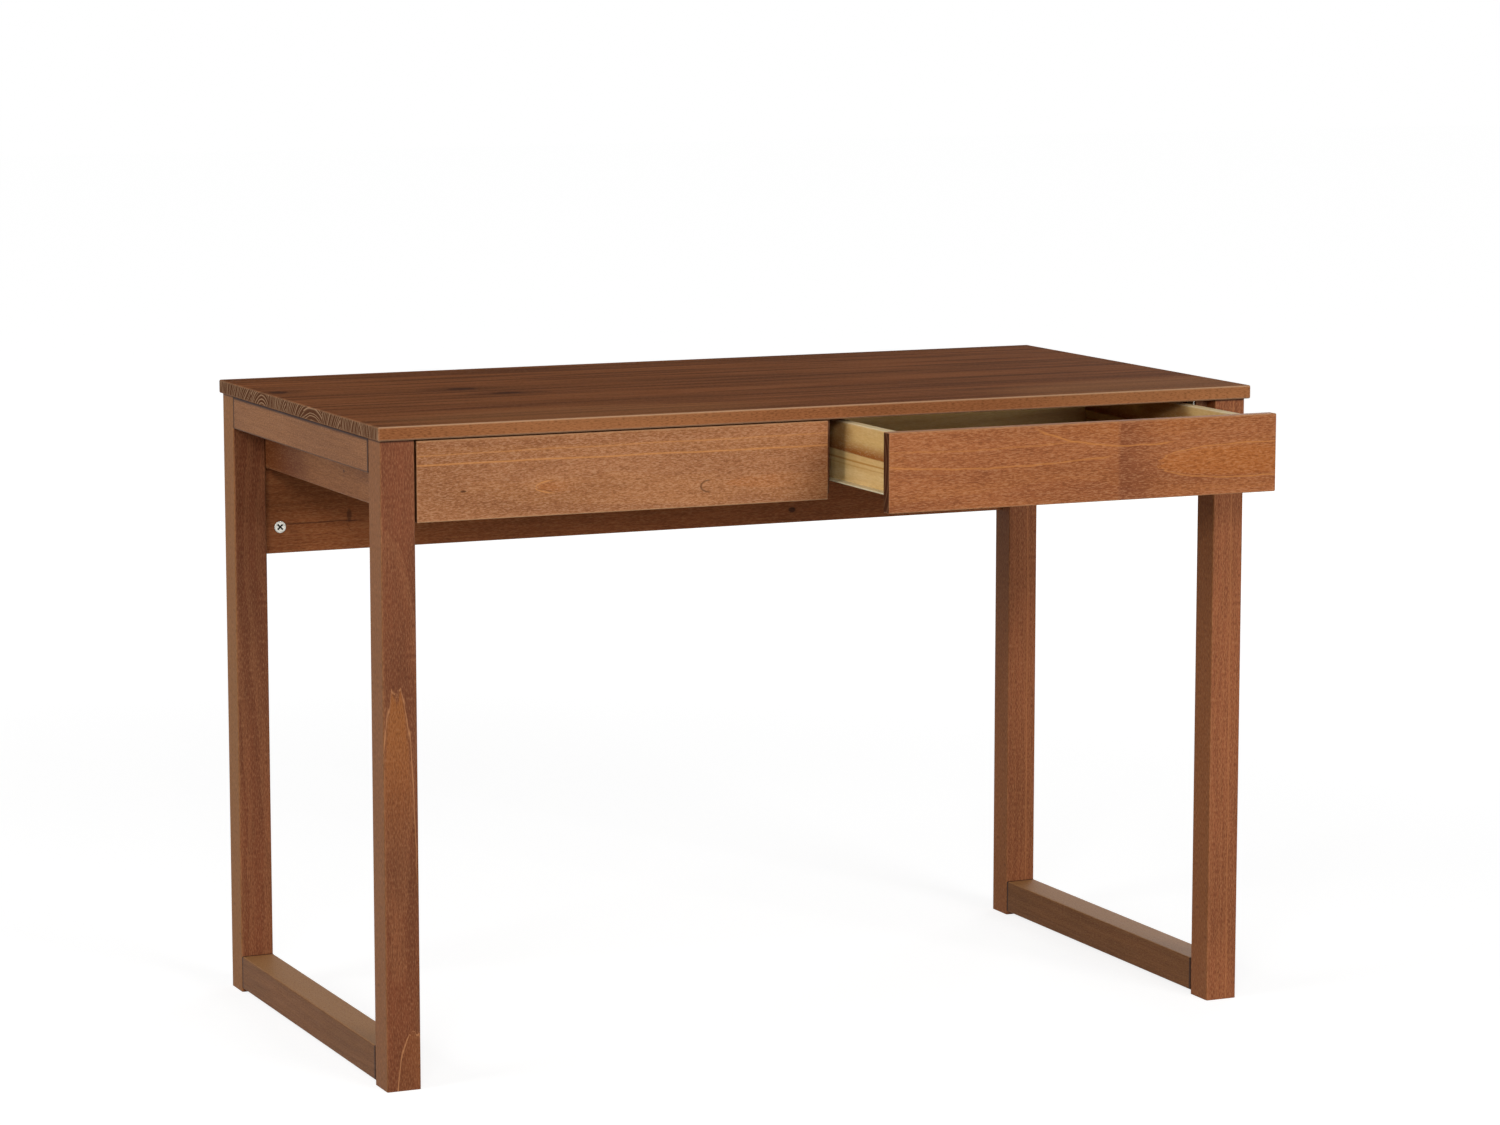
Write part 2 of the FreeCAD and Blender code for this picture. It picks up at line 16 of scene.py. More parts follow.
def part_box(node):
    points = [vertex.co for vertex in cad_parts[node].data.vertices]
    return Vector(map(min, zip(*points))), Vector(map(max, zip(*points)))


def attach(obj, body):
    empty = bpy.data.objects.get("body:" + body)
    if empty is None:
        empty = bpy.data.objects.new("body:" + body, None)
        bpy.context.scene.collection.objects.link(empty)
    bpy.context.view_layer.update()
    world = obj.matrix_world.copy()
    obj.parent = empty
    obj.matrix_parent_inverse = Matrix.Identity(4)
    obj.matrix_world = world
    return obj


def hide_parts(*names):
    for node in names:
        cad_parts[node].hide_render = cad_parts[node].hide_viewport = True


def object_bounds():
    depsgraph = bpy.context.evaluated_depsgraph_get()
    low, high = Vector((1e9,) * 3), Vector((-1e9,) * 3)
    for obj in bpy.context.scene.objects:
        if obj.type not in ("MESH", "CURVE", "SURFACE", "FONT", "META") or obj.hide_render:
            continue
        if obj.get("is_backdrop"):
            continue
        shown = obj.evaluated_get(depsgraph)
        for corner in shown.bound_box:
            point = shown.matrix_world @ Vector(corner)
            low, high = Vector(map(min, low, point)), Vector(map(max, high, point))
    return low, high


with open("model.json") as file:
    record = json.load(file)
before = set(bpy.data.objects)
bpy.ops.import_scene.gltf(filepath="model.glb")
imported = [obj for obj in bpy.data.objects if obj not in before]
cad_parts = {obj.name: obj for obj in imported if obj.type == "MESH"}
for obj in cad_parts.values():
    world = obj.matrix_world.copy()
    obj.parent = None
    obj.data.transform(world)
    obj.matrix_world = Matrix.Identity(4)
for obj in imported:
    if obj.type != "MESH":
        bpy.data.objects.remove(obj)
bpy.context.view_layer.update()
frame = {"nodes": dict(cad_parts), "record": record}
MM = 0.001

# %% [markdown]
# ## Writing materials as arithmetic
# A wood finish is mostly maths: how far a point lies from the heart of the tree, which growth ring
# that is, how near an edge. Adding each Math node by hand hides that maths, so a Strand wraps one
# socket and lets plain Python operators add the nodes.


# %% Strand
def step(operation):
    """A method that adds one Math node."""
    return lambda strand, *others: strand.weave.maths(operation, strand, *others)


class Strand:
    """A value on its way through a node tree. Arithmetic on it adds Math nodes."""

    __add__ = step("ADD")
    __sub__ = step("SUBTRACT")
    __mul__ = step("MULTIPLY")
    __truediv__ = step("DIVIDE")
    __pow__ = step("POWER")
    __abs__ = step("ABSOLUTE")
    whole = step("FLOOR")
    fraction = step("FRACT")
    most = step("MAXIMUM")

    def __init__(self, weave, socket):
        self.weave = weave
        self.socket = socket

    def __rsub__(self, other):
        return self.weave.maths("SUBTRACT", other, self)

    def output(self, name):
        return Strand(self.weave, self.socket.node.outputs[name])

    def ease(self, low, high):
        """0 below low, 1 above high and a smooth rise between them."""
        sockets = {"Value": self, "From Min": low, "From Max": high}
        return self.weave.node("ShaderNodeMapRange", {"interpolation_type": "SMOOTHSTEP"}, sockets)


# %% [markdown]
# ## Node trees
# A Weave is a node tree with one method that adds any kind of node: first the settings, then the
# sockets, each with a value or a link. Mixing two colours is the step that the finishes use most.

# %% Weave
COLOUR_A, COLOUR_B, COLOUR_OUT = 6, 7, 2


class Weave:
    """A node tree, and the nodes that are added to it."""

    def __init__(self, tree):
        self.tree = tree

    def node(self, kind, settings, sockets, output=0):
        made = self.tree.nodes.new(kind)
        for name, value in settings.items():
            setattr(made, name, value)
        for key, value in sockets.items():
            if isinstance(value, Strand):
                self.tree.links.new(value.socket, made.inputs[key])
            else:
                made.inputs[key].default_value = value
        return Strand(self, made.outputs[output]) if made.outputs else None

    def maths(self, operation, *values):
        return self.node("ShaderNodeMath", {"operation": operation}, dict(enumerate(values)))

    def mix(self, share, first, second):
        """The first colour, turned into the second by share."""
        sockets = {0: share, COLOUR_A: first, COLOUR_B: second}
        return self.node("ShaderNodeMix", {"data_type": "RGBA"}, sockets, COLOUR_OUT)


# %% [markdown]
# ## Finishes and colours
# A Finish is the weave of a material with one Principled shader. Colours are written as they look on a
# screen, and turned into the linear light that shaders use.


# %% Finish
class Finish(Weave):
    """A material with one Principled shader, and the values fixed on its sockets."""

    def __init__(self, name, fixed):
        self.material = bpy.data.materials.new(name)
        self.material.use_nodes = True
        super().__init__(self.material.node_tree)
        self.shader = self.tree.nodes["Principled BSDF"]
        for socket, value in fixed.items():
            self.shader.inputs[socket].default_value = value

    def feed(self, socket, strand):
        self.tree.links.new(strand.socket, self.shader.inputs[socket])

    def relief(self, height, strength, depth):
        """Bumps the surface by a height, depth metres deep where the height is 1."""
        sockets = {"Height": height, "Strength": strength, "Distance": depth}
        self.feed("Normal", self.node("ShaderNodeBump", {}, sockets))

    def dress(self, node):
        """Puts the material on a CAD node."""
        slots = frame["nodes"][node].data.materials
        slots.clear()
        slots.append(self.material)


def paint(code):
    """A colour as written for screens, such as A06A48, in linear light."""
    levels = [int(code[place:place + 2], 16) / 255 for place in (0, 2, 4)]
    linear = [v / 12.92 if v <= 0.04045 else ((v + 0.055) / 1.055) ** 2.4 for v in levels]
    return (*linear, 1.0)


print("a mid brown in linear light:", [round(v, 3) for v in paint("A06A48")])

# %% [markdown]
# ## What pine looks like inside
# A board is a slice through a trunk. The growth rings lie round the heart of the tree, which runs
# roughly along the board and usually outside it, so the same rings draw straight lines on one face,
# long flames on another and arcs on the ends. A solid texture gives all of these from one formula,
# and it needs no UV map: it reads the point's place in the board, in millimetres from its middle.

# %% Place in a board
CLOUD_ROUGHNESS = 0.55
END_FADE = 0.3
EDGE_START, EDGE_FULL = 0.8, 0.3
# The share of the painted highlight that the arrises of the ends take.
END_HIGHLIGHT = 0.3


class Board:
    """Where a point lies in its board: along the grain, across the face and through the board."""

    def __init__(self, finish, node, along, across, seed):
        low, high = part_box(node)
        through = next(axis for axis in "xyz" if axis not in (along, across))
        place = finish.node("ShaderNodeTexCoord", {}, {}, "Object")
        split = finish.node("ShaderNodeSeparateXYZ", {}, {0: place})
        self.finish = finish
        self.seed = seed
        self.half = []
        self.parts = []
        for axis in (along, across, through):
            index = "xyz".index(axis)
            middle = (low[index] + high[index]) / 2
            self.half.append((high[index] - low[index]) / 2 / MM)
            self.parts.append((split.output(axis.upper()) - middle) / MM)
        self.run, self.width, self.depth = self.parts

    def cloud(self, run, width, detail, offset):
        """Soft variation from 0 to 1, in patches of run by width mm. The offset sets clouds apart."""
        start = self.seed + offset
        corners = {0: self.run / run + start, 1: self.width / width, 2: self.depth / width}
        where = self.finish.node("ShaderNodeCombineXYZ", {}, corners)
        sockets = {"Vector": where, "Scale": 1.0, "Detail": detail, "Roughness": CLOUD_ROUGHNESS}
        return self.finish.node("ShaderNodeTexNoise", {}, sockets)

    def drift(self, run, width, detail, offset, reach):
        """A cloud that goes both ways from 0, over reach mm in all."""
        return (self.cloud(run, width, detail, offset) - 0.5) * reach

    def ends(self, reach):
        """1 on the two end faces, where the grain is cut across, and over reach mm beside them."""
        return abs(self.run).ease(self.half[0] - reach - END_FADE, self.half[0] - reach)

    def long_edges(self):
        """1 on the two narrow faces along the board."""
        return abs(self.width).ease(self.half[1] - EDGE_START, self.half[1] - EDGE_FULL)

    def broad_faces(self):
        """1 everywhere but on the narrow faces."""
        return 1.0 - self.long_edges()

    def arrises(self, reach):
        """1 on the long edges and less on those of the ends, fading over reach mm."""
        near = [abs(part).ease(half - reach, half) for part, half in zip(self.parts, self.half)]
        run, width, depth = near
        return (width * depth).most(run * width.most(depth) * END_HIGHLIGHT)


# %% [markdown]
# ## Growth rings
# The late wood at the end of each year is a thin hard line, so a ring is not a sine wave: it rises
# slowly through the early wood and stops short. A little noise bends the heart along the board and
# makes the years uneven. A panel glued up from staves has a heart of its own in each stave.

# %% Rings
FIRST_STAVE = 100.0
HEART_ASIDE, HEART_DEEP = 4.0, 1.5
HEART_BEND = 26.0
RING_RIPPLE = 4.7
YEAR_PACE, YEAR_SPREAD = 0.45, 1.6
EARLY, LATE, STOP = 0.3, 0.88, 0.92


def stave_place(board, stave, heart):
    """Place across and through a point's own stave, and the stave's lot from 0 to 1."""
    number = (board.width / stave + (FIRST_STAVE + 0.5)).whole()
    settings = {"noise_dimensions": "1D"}
    lot = board.finish.node("ShaderNodeTexWhiteNoise", settings, {"W": number + board.seed})
    pick = board.finish.node("ShaderNodeSeparateColor", {}, {0: lot.output("Color")})
    aside = (pick.output("Red") - 0.5) * stave * HEART_ASIDE
    width = board.width - (number - FIRST_STAVE) * stave + aside
    depth = board.depth + (pick.output("Green") - 0.5) * abs(heart[1]) * HEART_DEEP
    return width, depth, pick.output("Blue")


def late_wood(board, width, depth, heart, spacing):
    """1 on the hard line that ends each year. The heart is a place across and through the board."""
    bend = board.drift(420.0, 150.0, 1.0, 3.0, HEART_BEND)
    sway = board.drift(560.0, 150.0, 1.0, 7.0, HEART_BEND)
    ripple = board.drift(70.0, 30.0, 2.0, 11.0, RING_RIPPLE)
    aside = width + bend - heart[0]
    under = depth + sway - heart[1]
    years = ((aside * aside + under * under) ** 0.5 + ripple) / spacing
    sockets = {"W": years * YEAR_PACE, "Scale": 1.0}
    uneven = board.finish.node("ShaderNodeTexNoise", {"noise_dimensions": "1D"}, sockets)
    turn = (years + uneven * YEAR_SPREAD).fraction()
    return turn.ease(EARLY, LATE) * (1.0 - turn.ease(STOP, 1.0))


# %% [markdown]
# ## Flames
# Where a ring comes up through the face of a board it draws a flame: a round tip that opens over some
# length and then runs on. Each mark is a small function that is 1 on the mark and 0 off it, placed in
# millimetres from the middle of the board. The grain ruffles it a little, so no mark has a drawn edge.

# %% Flames
FINGERS = 0.16
LEAST_OPENING = 0.0004
RUFFLE = (35.0, 9.0, 2.0, 23.0)
FLAME_RUFFLE, MOST_FLAME_RUFFLE = 0.25, 4.0
FLAME_CORE, TIP_FADE = 0.7, 0.06
RIM_WIDTH, RIM_START = 1.3, -0.01


def flame_form(board, run, width, reach, spread):
    """How far past a flame's tip a point lies, the flame's width there and how far aside it lies."""
    fingers = board.drift(150.0, 3.0, 1.0, 29.0, reach * FINGERS)
    past = (board.run - run + fingers) / reach
    short = (1.0 - past).most(0.0)
    opening = (1.0 - short * short).most(LEAST_OPENING) ** 0.5 * spread
    ruffle = board.drift(*RUFFLE, min(spread * FLAME_RUFFLE, MOST_FLAME_RUFFLE))
    return past, opening, abs(board.width - width + ruffle)


def flame(board, run, width, reach, spread, end):
    """The inside of a flame, which fades towards its end."""
    past, opening, aside = flame_form(board, run, width, reach, spread)
    inside = 1.0 - (aside / opening).ease(FLAME_CORE, 1.0)
    fade = 1.0 - past.ease(0.1 * end, end)
    return inside * past.ease(0.0, TIP_FADE) * fade * board.broad_faces()


def rim(board, run, width, reach, spread, end):
    """The thin line round a flame."""
    past, opening, aside = flame_form(board, run, width, reach, spread)
    line = 1.0 - abs(aside - opening).ease(0.0, RIM_WIDTH)
    fade = 1.0 - past.ease(0.5 * end, end)
    return line * past.ease(RIM_START, 0.0) * fade * board.broad_faces()


# %% [markdown]
# ## Lines along a board
# Where a ring runs nearly along the face it draws a line from end to end, or edges a darker band. A
# wave texture would repeat such lines; one that is given its height at both ends lies where it should.

# %% Lines
LINE_WOBBLE = 4.0
JOINT_BEFORE, JOINT_AFTER = 4.0, 3.0


def above_line(board, start, end):
    """How far a point lies above a wavering line that goes from start to end along the board."""
    slope = (end - start) / (2 * board.half[0])
    wobble = board.drift(130.0, 900.0, 2.0, 17.0, LINE_WOBBLE)
    return board.width - board.run * slope - (start + end) / 2 - wobble


def streak(board, start, end, half_width):
    """A line along the whole board."""
    return 1.0 - abs(above_line(board, start, end)).ease(0.0, half_width)


def band(board, start, end, reach):
    """A band with a sharp lower edge that fades upwards over reach mm."""
    rise = above_line(board, start, end)
    return rise.ease(-1.0, 1.0) * (1.0 - rise.ease(0.0, reach))


def joint(board, run, reach):
    """A shade that starts where one length of wood is jointed to the next, and fades over reach mm."""
    start = board.run.ease(run - JOINT_BEFORE, run + JOINT_AFTER)
    return start * (1.0 - board.run.ease(run, run + reach))


# %% [markdown]
# ## Painted shade where boards meet
# Light is lost under an overhanging board, in the gap below one and in the seam between two, and stain
# gathers in a seam. Cutting a groove would change the CAD's shape, so each is drawn as a thin dark
# line on the edge of a board: painted shade, with the dark joint as well at butted ends.

# %% Painted shade lines
SHADE_CORE, BUTT_CORE = 0.4, 0.5


def edge_shade(strand, half, reach, core=SHADE_CORE):
    """1 at the face that lies half mm out, fading inwards over reach mm."""
    return strand.ease(half - reach, half - core * reach)


def lip(board, side, reach):
    """Painted shade along the upper edge for side 1, or the lower for side -1."""
    return edge_shade(board.width * side, board.half[1], reach)


def cap(board, reach):
    """Painted shade at the far end, where the next board lies on this one."""
    return edge_shade(board.run, board.half[0], reach)


def butt(board, reach):
    """A dark joint line and painted shade at both ends, which are set between two other boards."""
    return edge_shade(abs(board.run), board.half[0], reach, BUTT_CORE)


def keel(board, reach):
    """Painted shade along the lower edge of the narrow faces, over the gap below them."""
    return edge_shade(board.depth * -1.0, board.half[2], reach) * board.long_edges()


# Painted shade lines, with the dark joint as well at butted ends.
SHADE_LINES = {"lip": lip, "cap": cap, "butt": butt, "keel": keel}
print("kinds of joint:", ", ".join(SHADE_LINES))

# %% [markdown]
# ## Arcs and knots
# The rest of the marks are ovals: the dark hearts of knots, soft patches and thin arcs of a ring. The
# table gives each kind of mark its function and the colour it takes from the finish. The broad ones
# are tints, which lie under the flecks of the wood; the others lie over them.

# %% Arcs and knots
OVAL_RUFFLE, MOST_OVAL_RUFFLE = 0.5, 5.0
PATCH_CORE = 0.25
ARC_WIDTH, MOST_FADE = 1.4, 20.0


def oval(board, run, width, half_run, half_width):
    """0 in the middle of an oval and 1 on its rim."""
    ruffle = board.drift(*RUFFLE, min(half_width * OVAL_RUFFLE, MOST_OVAL_RUFFLE))
    along = (board.run - run) / half_run
    across = (board.width - width + ruffle) / half_width
    return along * along + across * across


def patch(board, run, width, half_run, half_width):
    """A soft oval."""
    return 1.0 - oval(board, run, width, half_run, half_width).ease(PATCH_CORE, 1.0)


def arc(board, run, width, half_run, half_width, start, end):
    """A thin line along an oval's rim, between two places along the board."""
    fade = min(MOST_FADE, (end - start) / 4)
    place = oval(board, run, width, half_run, half_width) ** 0.5
    line = 1.0 - abs(place - 1.0).ease(0.0, ARC_WIDTH / half_width)
    return line * board.run.ease(start, start + fade) * (1.0 - board.run.ease(end - fade, end))


# The pale, shade and glow patches carry painted sheen or painted shade on some boards, as noted where
# they are placed.
MARKS = {
    "flame": (flame, "flame"),
    "rim": (rim, "ring"),
    "streak": (streak, "ring"),
    "band": (band, "flame"),
    "joint": (joint, "fibre"),
    "glow": (patch, "flame"),
    "pale": (patch, "ring"),
    "shade": (patch, "speck"),
    "knot": (patch, "knot"),
    "arc": (arc, "ring"),
    "crack": (arc, "knot"),
}
TINTS = ("flame", "band", "joint", "glow", "pale", "shade")
print("kinds of mark:", ", ".join(MARKS))

# %% [markdown]
# ## Stained and raw pine
# Stain sinks into the soft early wood and stays off the hard late wood, so on the brown boards the
# ring lines are paler and more orange than the ground. On raw pine they are darker. A look holds the
# colours, the share of each that shows, the length and width of a fleck in mm, and the gloss.


# %% Looks
def toned(look, colours, **changes):
    """A look with some colours and shares of its own."""
    return {**look, **{name: paint(code) for name, code in colours.items()}, **changes}


WALNUT = toned(
    {},
    {
        "ground": "A0643C", "shade": "8E5532", "ring": "B97B47", "fibre": "6A3B22", "fleck": "BD8E66",
        "speck": "5E331C", "flame": "AC642F", "edge": "A86E42", "end": "6F4730", "worn": "B98A64",
        "knot": "2E170C",
    },
    ring_share=0.2, fibre_share=0.34, fleck_share=0.32, speck_share=0.42, stripe_share=0.0,
    edge_share=0.0, end_share=0.15, worn_share=0.2,
    fleck_size=(4.8, 1.0), gloss=0.1, roughness=(0.46, 0.64),
)
RAW = toned(
    {},
    {
        "ground": "DFBF84", "shade": "D2AC6C", "ring": "B07A35", "fibre": "AB8550", "fleck": "E6D2A8",
        "speck": "AB8550", "flame": "8A4606", "edge": "F2DDAE", "end": "C2A071", "worn": "F0E2C2",
        "knot": "6B3F1C",
    },
    ring_share=0.16, fibre_share=0.14, fleck_share=0.14, speck_share=0.14, stripe_share=0.0,
    edge_share=0.7, end_share=0.3, worn_share=0.4,
    fleck_size=(6.5, 1.3), gloss=0.12, roughness=(0.55, 0.72),
)
print("values in a look:", len(WALNUT), "stained,", len(RAW), "raw")

# %% [markdown]
# ## Grain and marks
# The colour is built up as a joiner would see it: a ground that drifts between two tones, then rings,
# fibres and stripes. One ramp over one noise is quicker, but its layers cannot be set one by one.

# %% Grain and marks
BROAD_SIZE, BROAD_SPAN = (240.0, 40.0), (0.32, 0.68)
STRIPE_SIZE, STRIPE_SPAN = (380.0, 12.0), (0.46, 0.62)
FIBRE_SPAN = (0.42, 0.74)
LOT_SHARE = 0.25


def grain(board, look, late, lot, fibre):
    """The colour of the wood before its marks."""
    mix = board.finish.mix
    broad = board.cloud(*BROAD_SIZE, 2.0, 41.0)
    if lot:
        broad = broad * (1.0 - LOT_SHARE) + lot * LOT_SHARE
    colour = mix(broad.ease(*BROAD_SPAN), look["shade"], look["ground"])
    colour = mix(late * look["ring_share"], colour, look["ring"])
    colour = mix(fibre.ease(*FIBRE_SPAN) * look["fibre_share"], colour, look["fibre"])
    if look["stripe_share"]:
        stripe = board.cloud(*STRIPE_SIZE, 3.0, 43.0)
        colour = mix(stripe.ease(*STRIPE_SPAN) * look["stripe_share"], colour, look["fibre"])
    # On some boards the edge colour of the narrow faces is painted sheen, highlight or shade, as noted
    # at their looks.
    return mix(board.long_edges() * look["edge_share"], colour, look["edge"])


def marked(board, look, colour, marks, tints):
    """A colour with its tints or its other marks on it: each a kind, a share and a place in mm."""
    for kind, share, *place in marks:
        if (kind in TINTS) == tints:
            mark, pigment = MARKS[kind]
            colour = board.finish.mix(mark(board, *place) * share, colour, look[pigment])
    return colour


# %% [markdown]
# ## The pine finish
# On the grain lie the board's own tints, then flecks, then its lines and knots. Cut ends, a painted
# highlight on the arrises and painted shade lines where the board meets others come last. The fibres
# and the rings also roughen the surface and raise it a little.

# %% Pine
SPECULAR = "Specular IOR Level"
FIBRE_SIZE = (46.0, 1.8)
FLECK_SPAN, SPECK_SPAN = (0.5, 0.64), (0.36, 0.5)
END_REACH, END_RINGS, END_ROUGHNESS = 0.15, 3.0, 0.12
ARRIS_REACH = 2.6
FIBRE_RISE, FLECK_RISE, RING_SINK = 0.6, 0.4, 0.3
GRAIN_STRENGTH, GRAIN_DEPTH = 0.3, 0.4 * MM


def pine(node, along, across, look, heart, seed, marks=(), spacing=6.0, stave=None, joints=()):
    """Gives one board its finish. Shade lines are the painted shade where it meets other boards, with
    the dark joint as well at butted ends.
    """
    finish = Finish(f"{node}_pine", {SPECULAR: look["gloss"]})
    board = Board(finish, node, along, across, seed)
    width, depth, lot = board.width, board.depth, None
    if stave:
        width, depth, lot = stave_place(board, stave, heart)
    late = late_wood(board, width, depth, heart, spacing)
    fibre = board.cloud(*FIBRE_SIZE, 3.0, 31.0)
    fleck = board.cloud(*look["fleck_size"], 2.0, 37.0)
    colour = grain(board, look, late, lot, fibre)
    colour = marked(board, look, colour, marks, tints=True)
    colour = finish.mix(fleck.ease(*FLECK_SPAN) * look["fleck_share"], colour, look["fleck"])
    speck = 1.0 - fleck.ease(*SPECK_SPAN)
    colour = finish.mix(speck * look["speck_share"], colour, look["speck"])
    colour = marked(board, look, colour, marks, tints=False)
    ends = board.ends(END_REACH)
    cut = finish.mix(late ** END_RINGS * look["end_share"], look["end"], look["worn"])
    colour = finish.mix(ends, colour, cut)
    # Painted highlight along the rounded arrises.
    colour = finish.mix(board.arrises(ARRIS_REACH) * look["worn_share"], colour, look["worn"])
    # Painted shade lines, in the dark knot colour.
    for kind, share, *place in joints:
        colour = finish.mix(SHADE_LINES[kind](board, *place) * share, colour, look["knot"])
    smooth, rough = look["roughness"]
    finish.feed("Base Color", colour)
    finish.feed("Roughness", fibre * (rough - smooth) + smooth + ends * END_ROUGHNESS)
    height = fibre * FIBRE_RISE + fleck * FLECK_RISE - late * RING_SINK
    finish.relief(height, GRAIN_STRENGTH, GRAIN_DEPTH)
    finish.dress(node)
    print(node, "marks:", len(marks), "nodes:", len(finish.tree.nodes))


# %% [markdown]
# ## The boards of the leg frames
# Each frame is four square bars. The front left leg shows a long orange flame half way up and an arch
# at its foot, so those are placed one by one; the other bars get a heart and a seed of their own, so
# that no two look alike. A rail is butted between two legs.

# %% Leg frames
# Painted sheen and shade: the edge colour sets the side faces of the legs apart from their fronts,
# lighter and yellower on the left legs and darker on the right ones.
LEFT_LEG = toned(
    WALNUT,
    {
        "ground": "7C452A", "shade": "6B3C24", "ring": "BA8054", "fibre": "482412", "fleck": "A47450",
        "speck": "462414", "flame": "9C5E2E", "edge": "83552D",
    },
    ring_share=0.12, edge_share=0.7, worn_share=0.1,
)
RIGHT_LEG = toned(
    WALNUT,
    {
        "ground": "955737", "shade": "824B2E", "ring": "AE7045", "fibre": "562C17", "fleck": "B88458",
        "speck": "522B18", "edge": "885228",
    },
    edge_share=0.6, worn_share=0.1,
)
RAIL = toned(
    WALNUT,
    {"ground": "8B5B35", "shade": "7B4E2B", "ring": "A06C40", "fibre": "583119", "fleck": "AC7E58"},
)
# Painted sheen: the bottom rails' top and bottom faces take a lighter edge colour.
LOW_RAIL = toned(
    WALNUT,
    {
        "ground": "754926", "shade": "674020", "ring": "8E6038", "fibre": "4A2914", "fleck": "94683F",
        "edge": "A4774C",
    },
    edge_share=0.9, worn_share=0.1,
)
# Painted shade under the top's overhang at the legs' upper ends. At the rail ends, a dark joint and
# painted shade.
SHADE_UNDER_TOP = (("cap", 0.8, 3.4),)
RAIL_ENDS = ("butt", 0.9, 5.0)
pine(
    "left_front_leg", "z", "x", LEFT_LEG, (-9.0, 70.0), 1.3,
    (
        ("flame", 0.7, 90.0, -4.5, -230.0, 22.0, 0.9),
        ("rim", 0.7, 90.0, -4.5, -230.0, 22.0, 1.1),
        ("flame", 0.15, -300.0, 11.0, -90.0, 19.0, 1.8),
        ("rim", 0.8, -300.0, 11.0, -90.0, 19.0, 1.8),
    ),
    joints=SHADE_UNDER_TOP,
)
# Painted light: the rear left leg's side faces are a little lighter still.
LEFT_REAR_LEG = toned(LEFT_LEG, {"edge": "90602F"})
pine("left_rear_leg", "z", "x", LEFT_REAR_LEG, (30.0, 40.0), 3.9, joints=SHADE_UNDER_TOP)
pine(
    "right_front_leg", "z", "x", RIGHT_LEG, (-34.0, 24.0), 2.7,
    (("streak", 0.5, 6.0, 4.0, 1.5),), spacing=4.5, joints=SHADE_UNDER_TOP,
)
pine(
    "right_rear_leg", "z", "x", RIGHT_LEG, (-26.0, -38.0), 5.1,
    (("streak", 0.5, 8.0, 6.0, 1.8),), joints=SHADE_UNDER_TOP,
)
for number, side in enumerate(("left", "right")):
    # Painted shade along the top rails' upper edge, under the top's overhang, and along their lower
    # edge.
    lines = (("lip", 1.0, 1.0, 5.6), ("lip", 0.75, -1.0, 2.6), RAIL_ENDS)
    pine(f"{side}_top_rail", "y", "z", RAIL, (-46.0, 60.0), 6.2 + number, joints=lines)
    pine(f"{side}_bottom_rail", "y", "z", LOW_RAIL, (42.0, 36.0), 8.4 + number, joints=(RAIL_ENDS,))

# %% [markdown]
# ## Top, side boards, partition and back panel
# The top is glued up from staves, which shows on its ends: each stave's rings lie their own way. It
# has three knots with a darker zone round each, and painted sheen as two paler patches along its front
# edge. Painted shade darkens the lower edge of its front and back faces. The back panel has a dark
# seam and two knots, one of them cracked, and its wood is painted lighter to make up for the shade
# under the desk; the left side board has a small knot and painted shade towards its rear end.

# %% Panels
# Painted highlight: the strong pale colour along the top's arrises.
TOP = toned(
    WALNUT,
    {
        "ground": "9A5C36", "shade": "7C4726", "ring": "B27A4E", "fibre": "43210E", "fleck": "A87048",
        "speck": "4C2813", "edge": "96603C", "end": "5A3A28", "worn": "C29C7A",
    },
    ring_share=0.2, stripe_share=0.6, edge_share=0.6, end_share=0.7, worn_share=0.9,
    gloss=0.01, roughness=(0.7, 0.86),
)
PANEL = toned(
    WALNUT,
    {"ground": "804A27", "shade": "6A3C1C", "ring": "92603A", "fibre": "4A2713", "fleck": "9C6E4A"},
)
# The left side board's redder speck colour also darkens its painted shade patch.
LEFT_BOARD = toned(PANEL, {"ground": "87552D", "shade": "744522", "speck": "582A10"})
# Painted light: the back panel's wood is a lighter copy of the panel wood, to make up for the shade
# under the desk.
BACK = toned(
    WALNUT,
    {"ground": "9A5830", "shade": "824824", "ring": "AC7042", "fibre": "5A3018", "fleck": "B07C52"},
)
pine(
    "desktop", "x", "y", TOP, (0.0, -46.0), 10.6,
    (
        ("shade", 0.5, -322.0, 62.0, 70.0, 26.0),
        ("knot", 0.75, -322.0, 62.0, 24.0, 14.0),
        ("shade", 0.5, -289.0, -2.0, 70.0, 24.0),
        ("knot", 0.75, -289.0, -2.0, 24.0, 12.0),
        ("shade", 0.5, -533.0, 109.0, 45.0, 26.0),
        ("knot", 0.75, -533.0, 109.0, 14.0, 15.0),
        # Painted sheen: two paler patches along the front edge.
        ("pale", 0.3, -300.0, -240.0, 280.0, 80.0),
        ("pale", 0.4, 450.0, -235.0, 260.0, 90.0),
    ),
    # The keel line is painted shade over the gap above the drawer fronts.
    spacing=4.6, stave=64.0, joints=(("keel", 0.75, 1.8),),
)
pine(
    "back_panel", "x", "z", BACK, (10.0, 64.0), 12.2,
    (
        ("crack", 0.7, -430.0, -115.0, 900.0, 52.0, -500.0, -370.0),
        ("knot", 0.55, -393.0, -56.0, 4.0, 10.0),
        ("crack", 0.4, -388.0, -50.0, 10.0, 26.0, -399.0, -383.0),
        ("knot", 0.8, 203.0, -82.0, 6.0, 4.0),
    ),
)
pine(
    "left_side_board", "y", "z", LEFT_BOARD, (-58.0, 40.0), 14.1,
    # The shade patch is painted shade towards the rear end.
    (("knot", 0.85, -45.0, -16.8, 3.0, 2.4), ("shade", 0.8, 250.0, -30.0, 190.0, 90.0)),
)
pine("right_side_board", "y", "z", PANEL, (48.0, -40.0), 15.3)
pine("centre_partition", "y", "z", PANEL, (52.0, 38.0), 16.7)
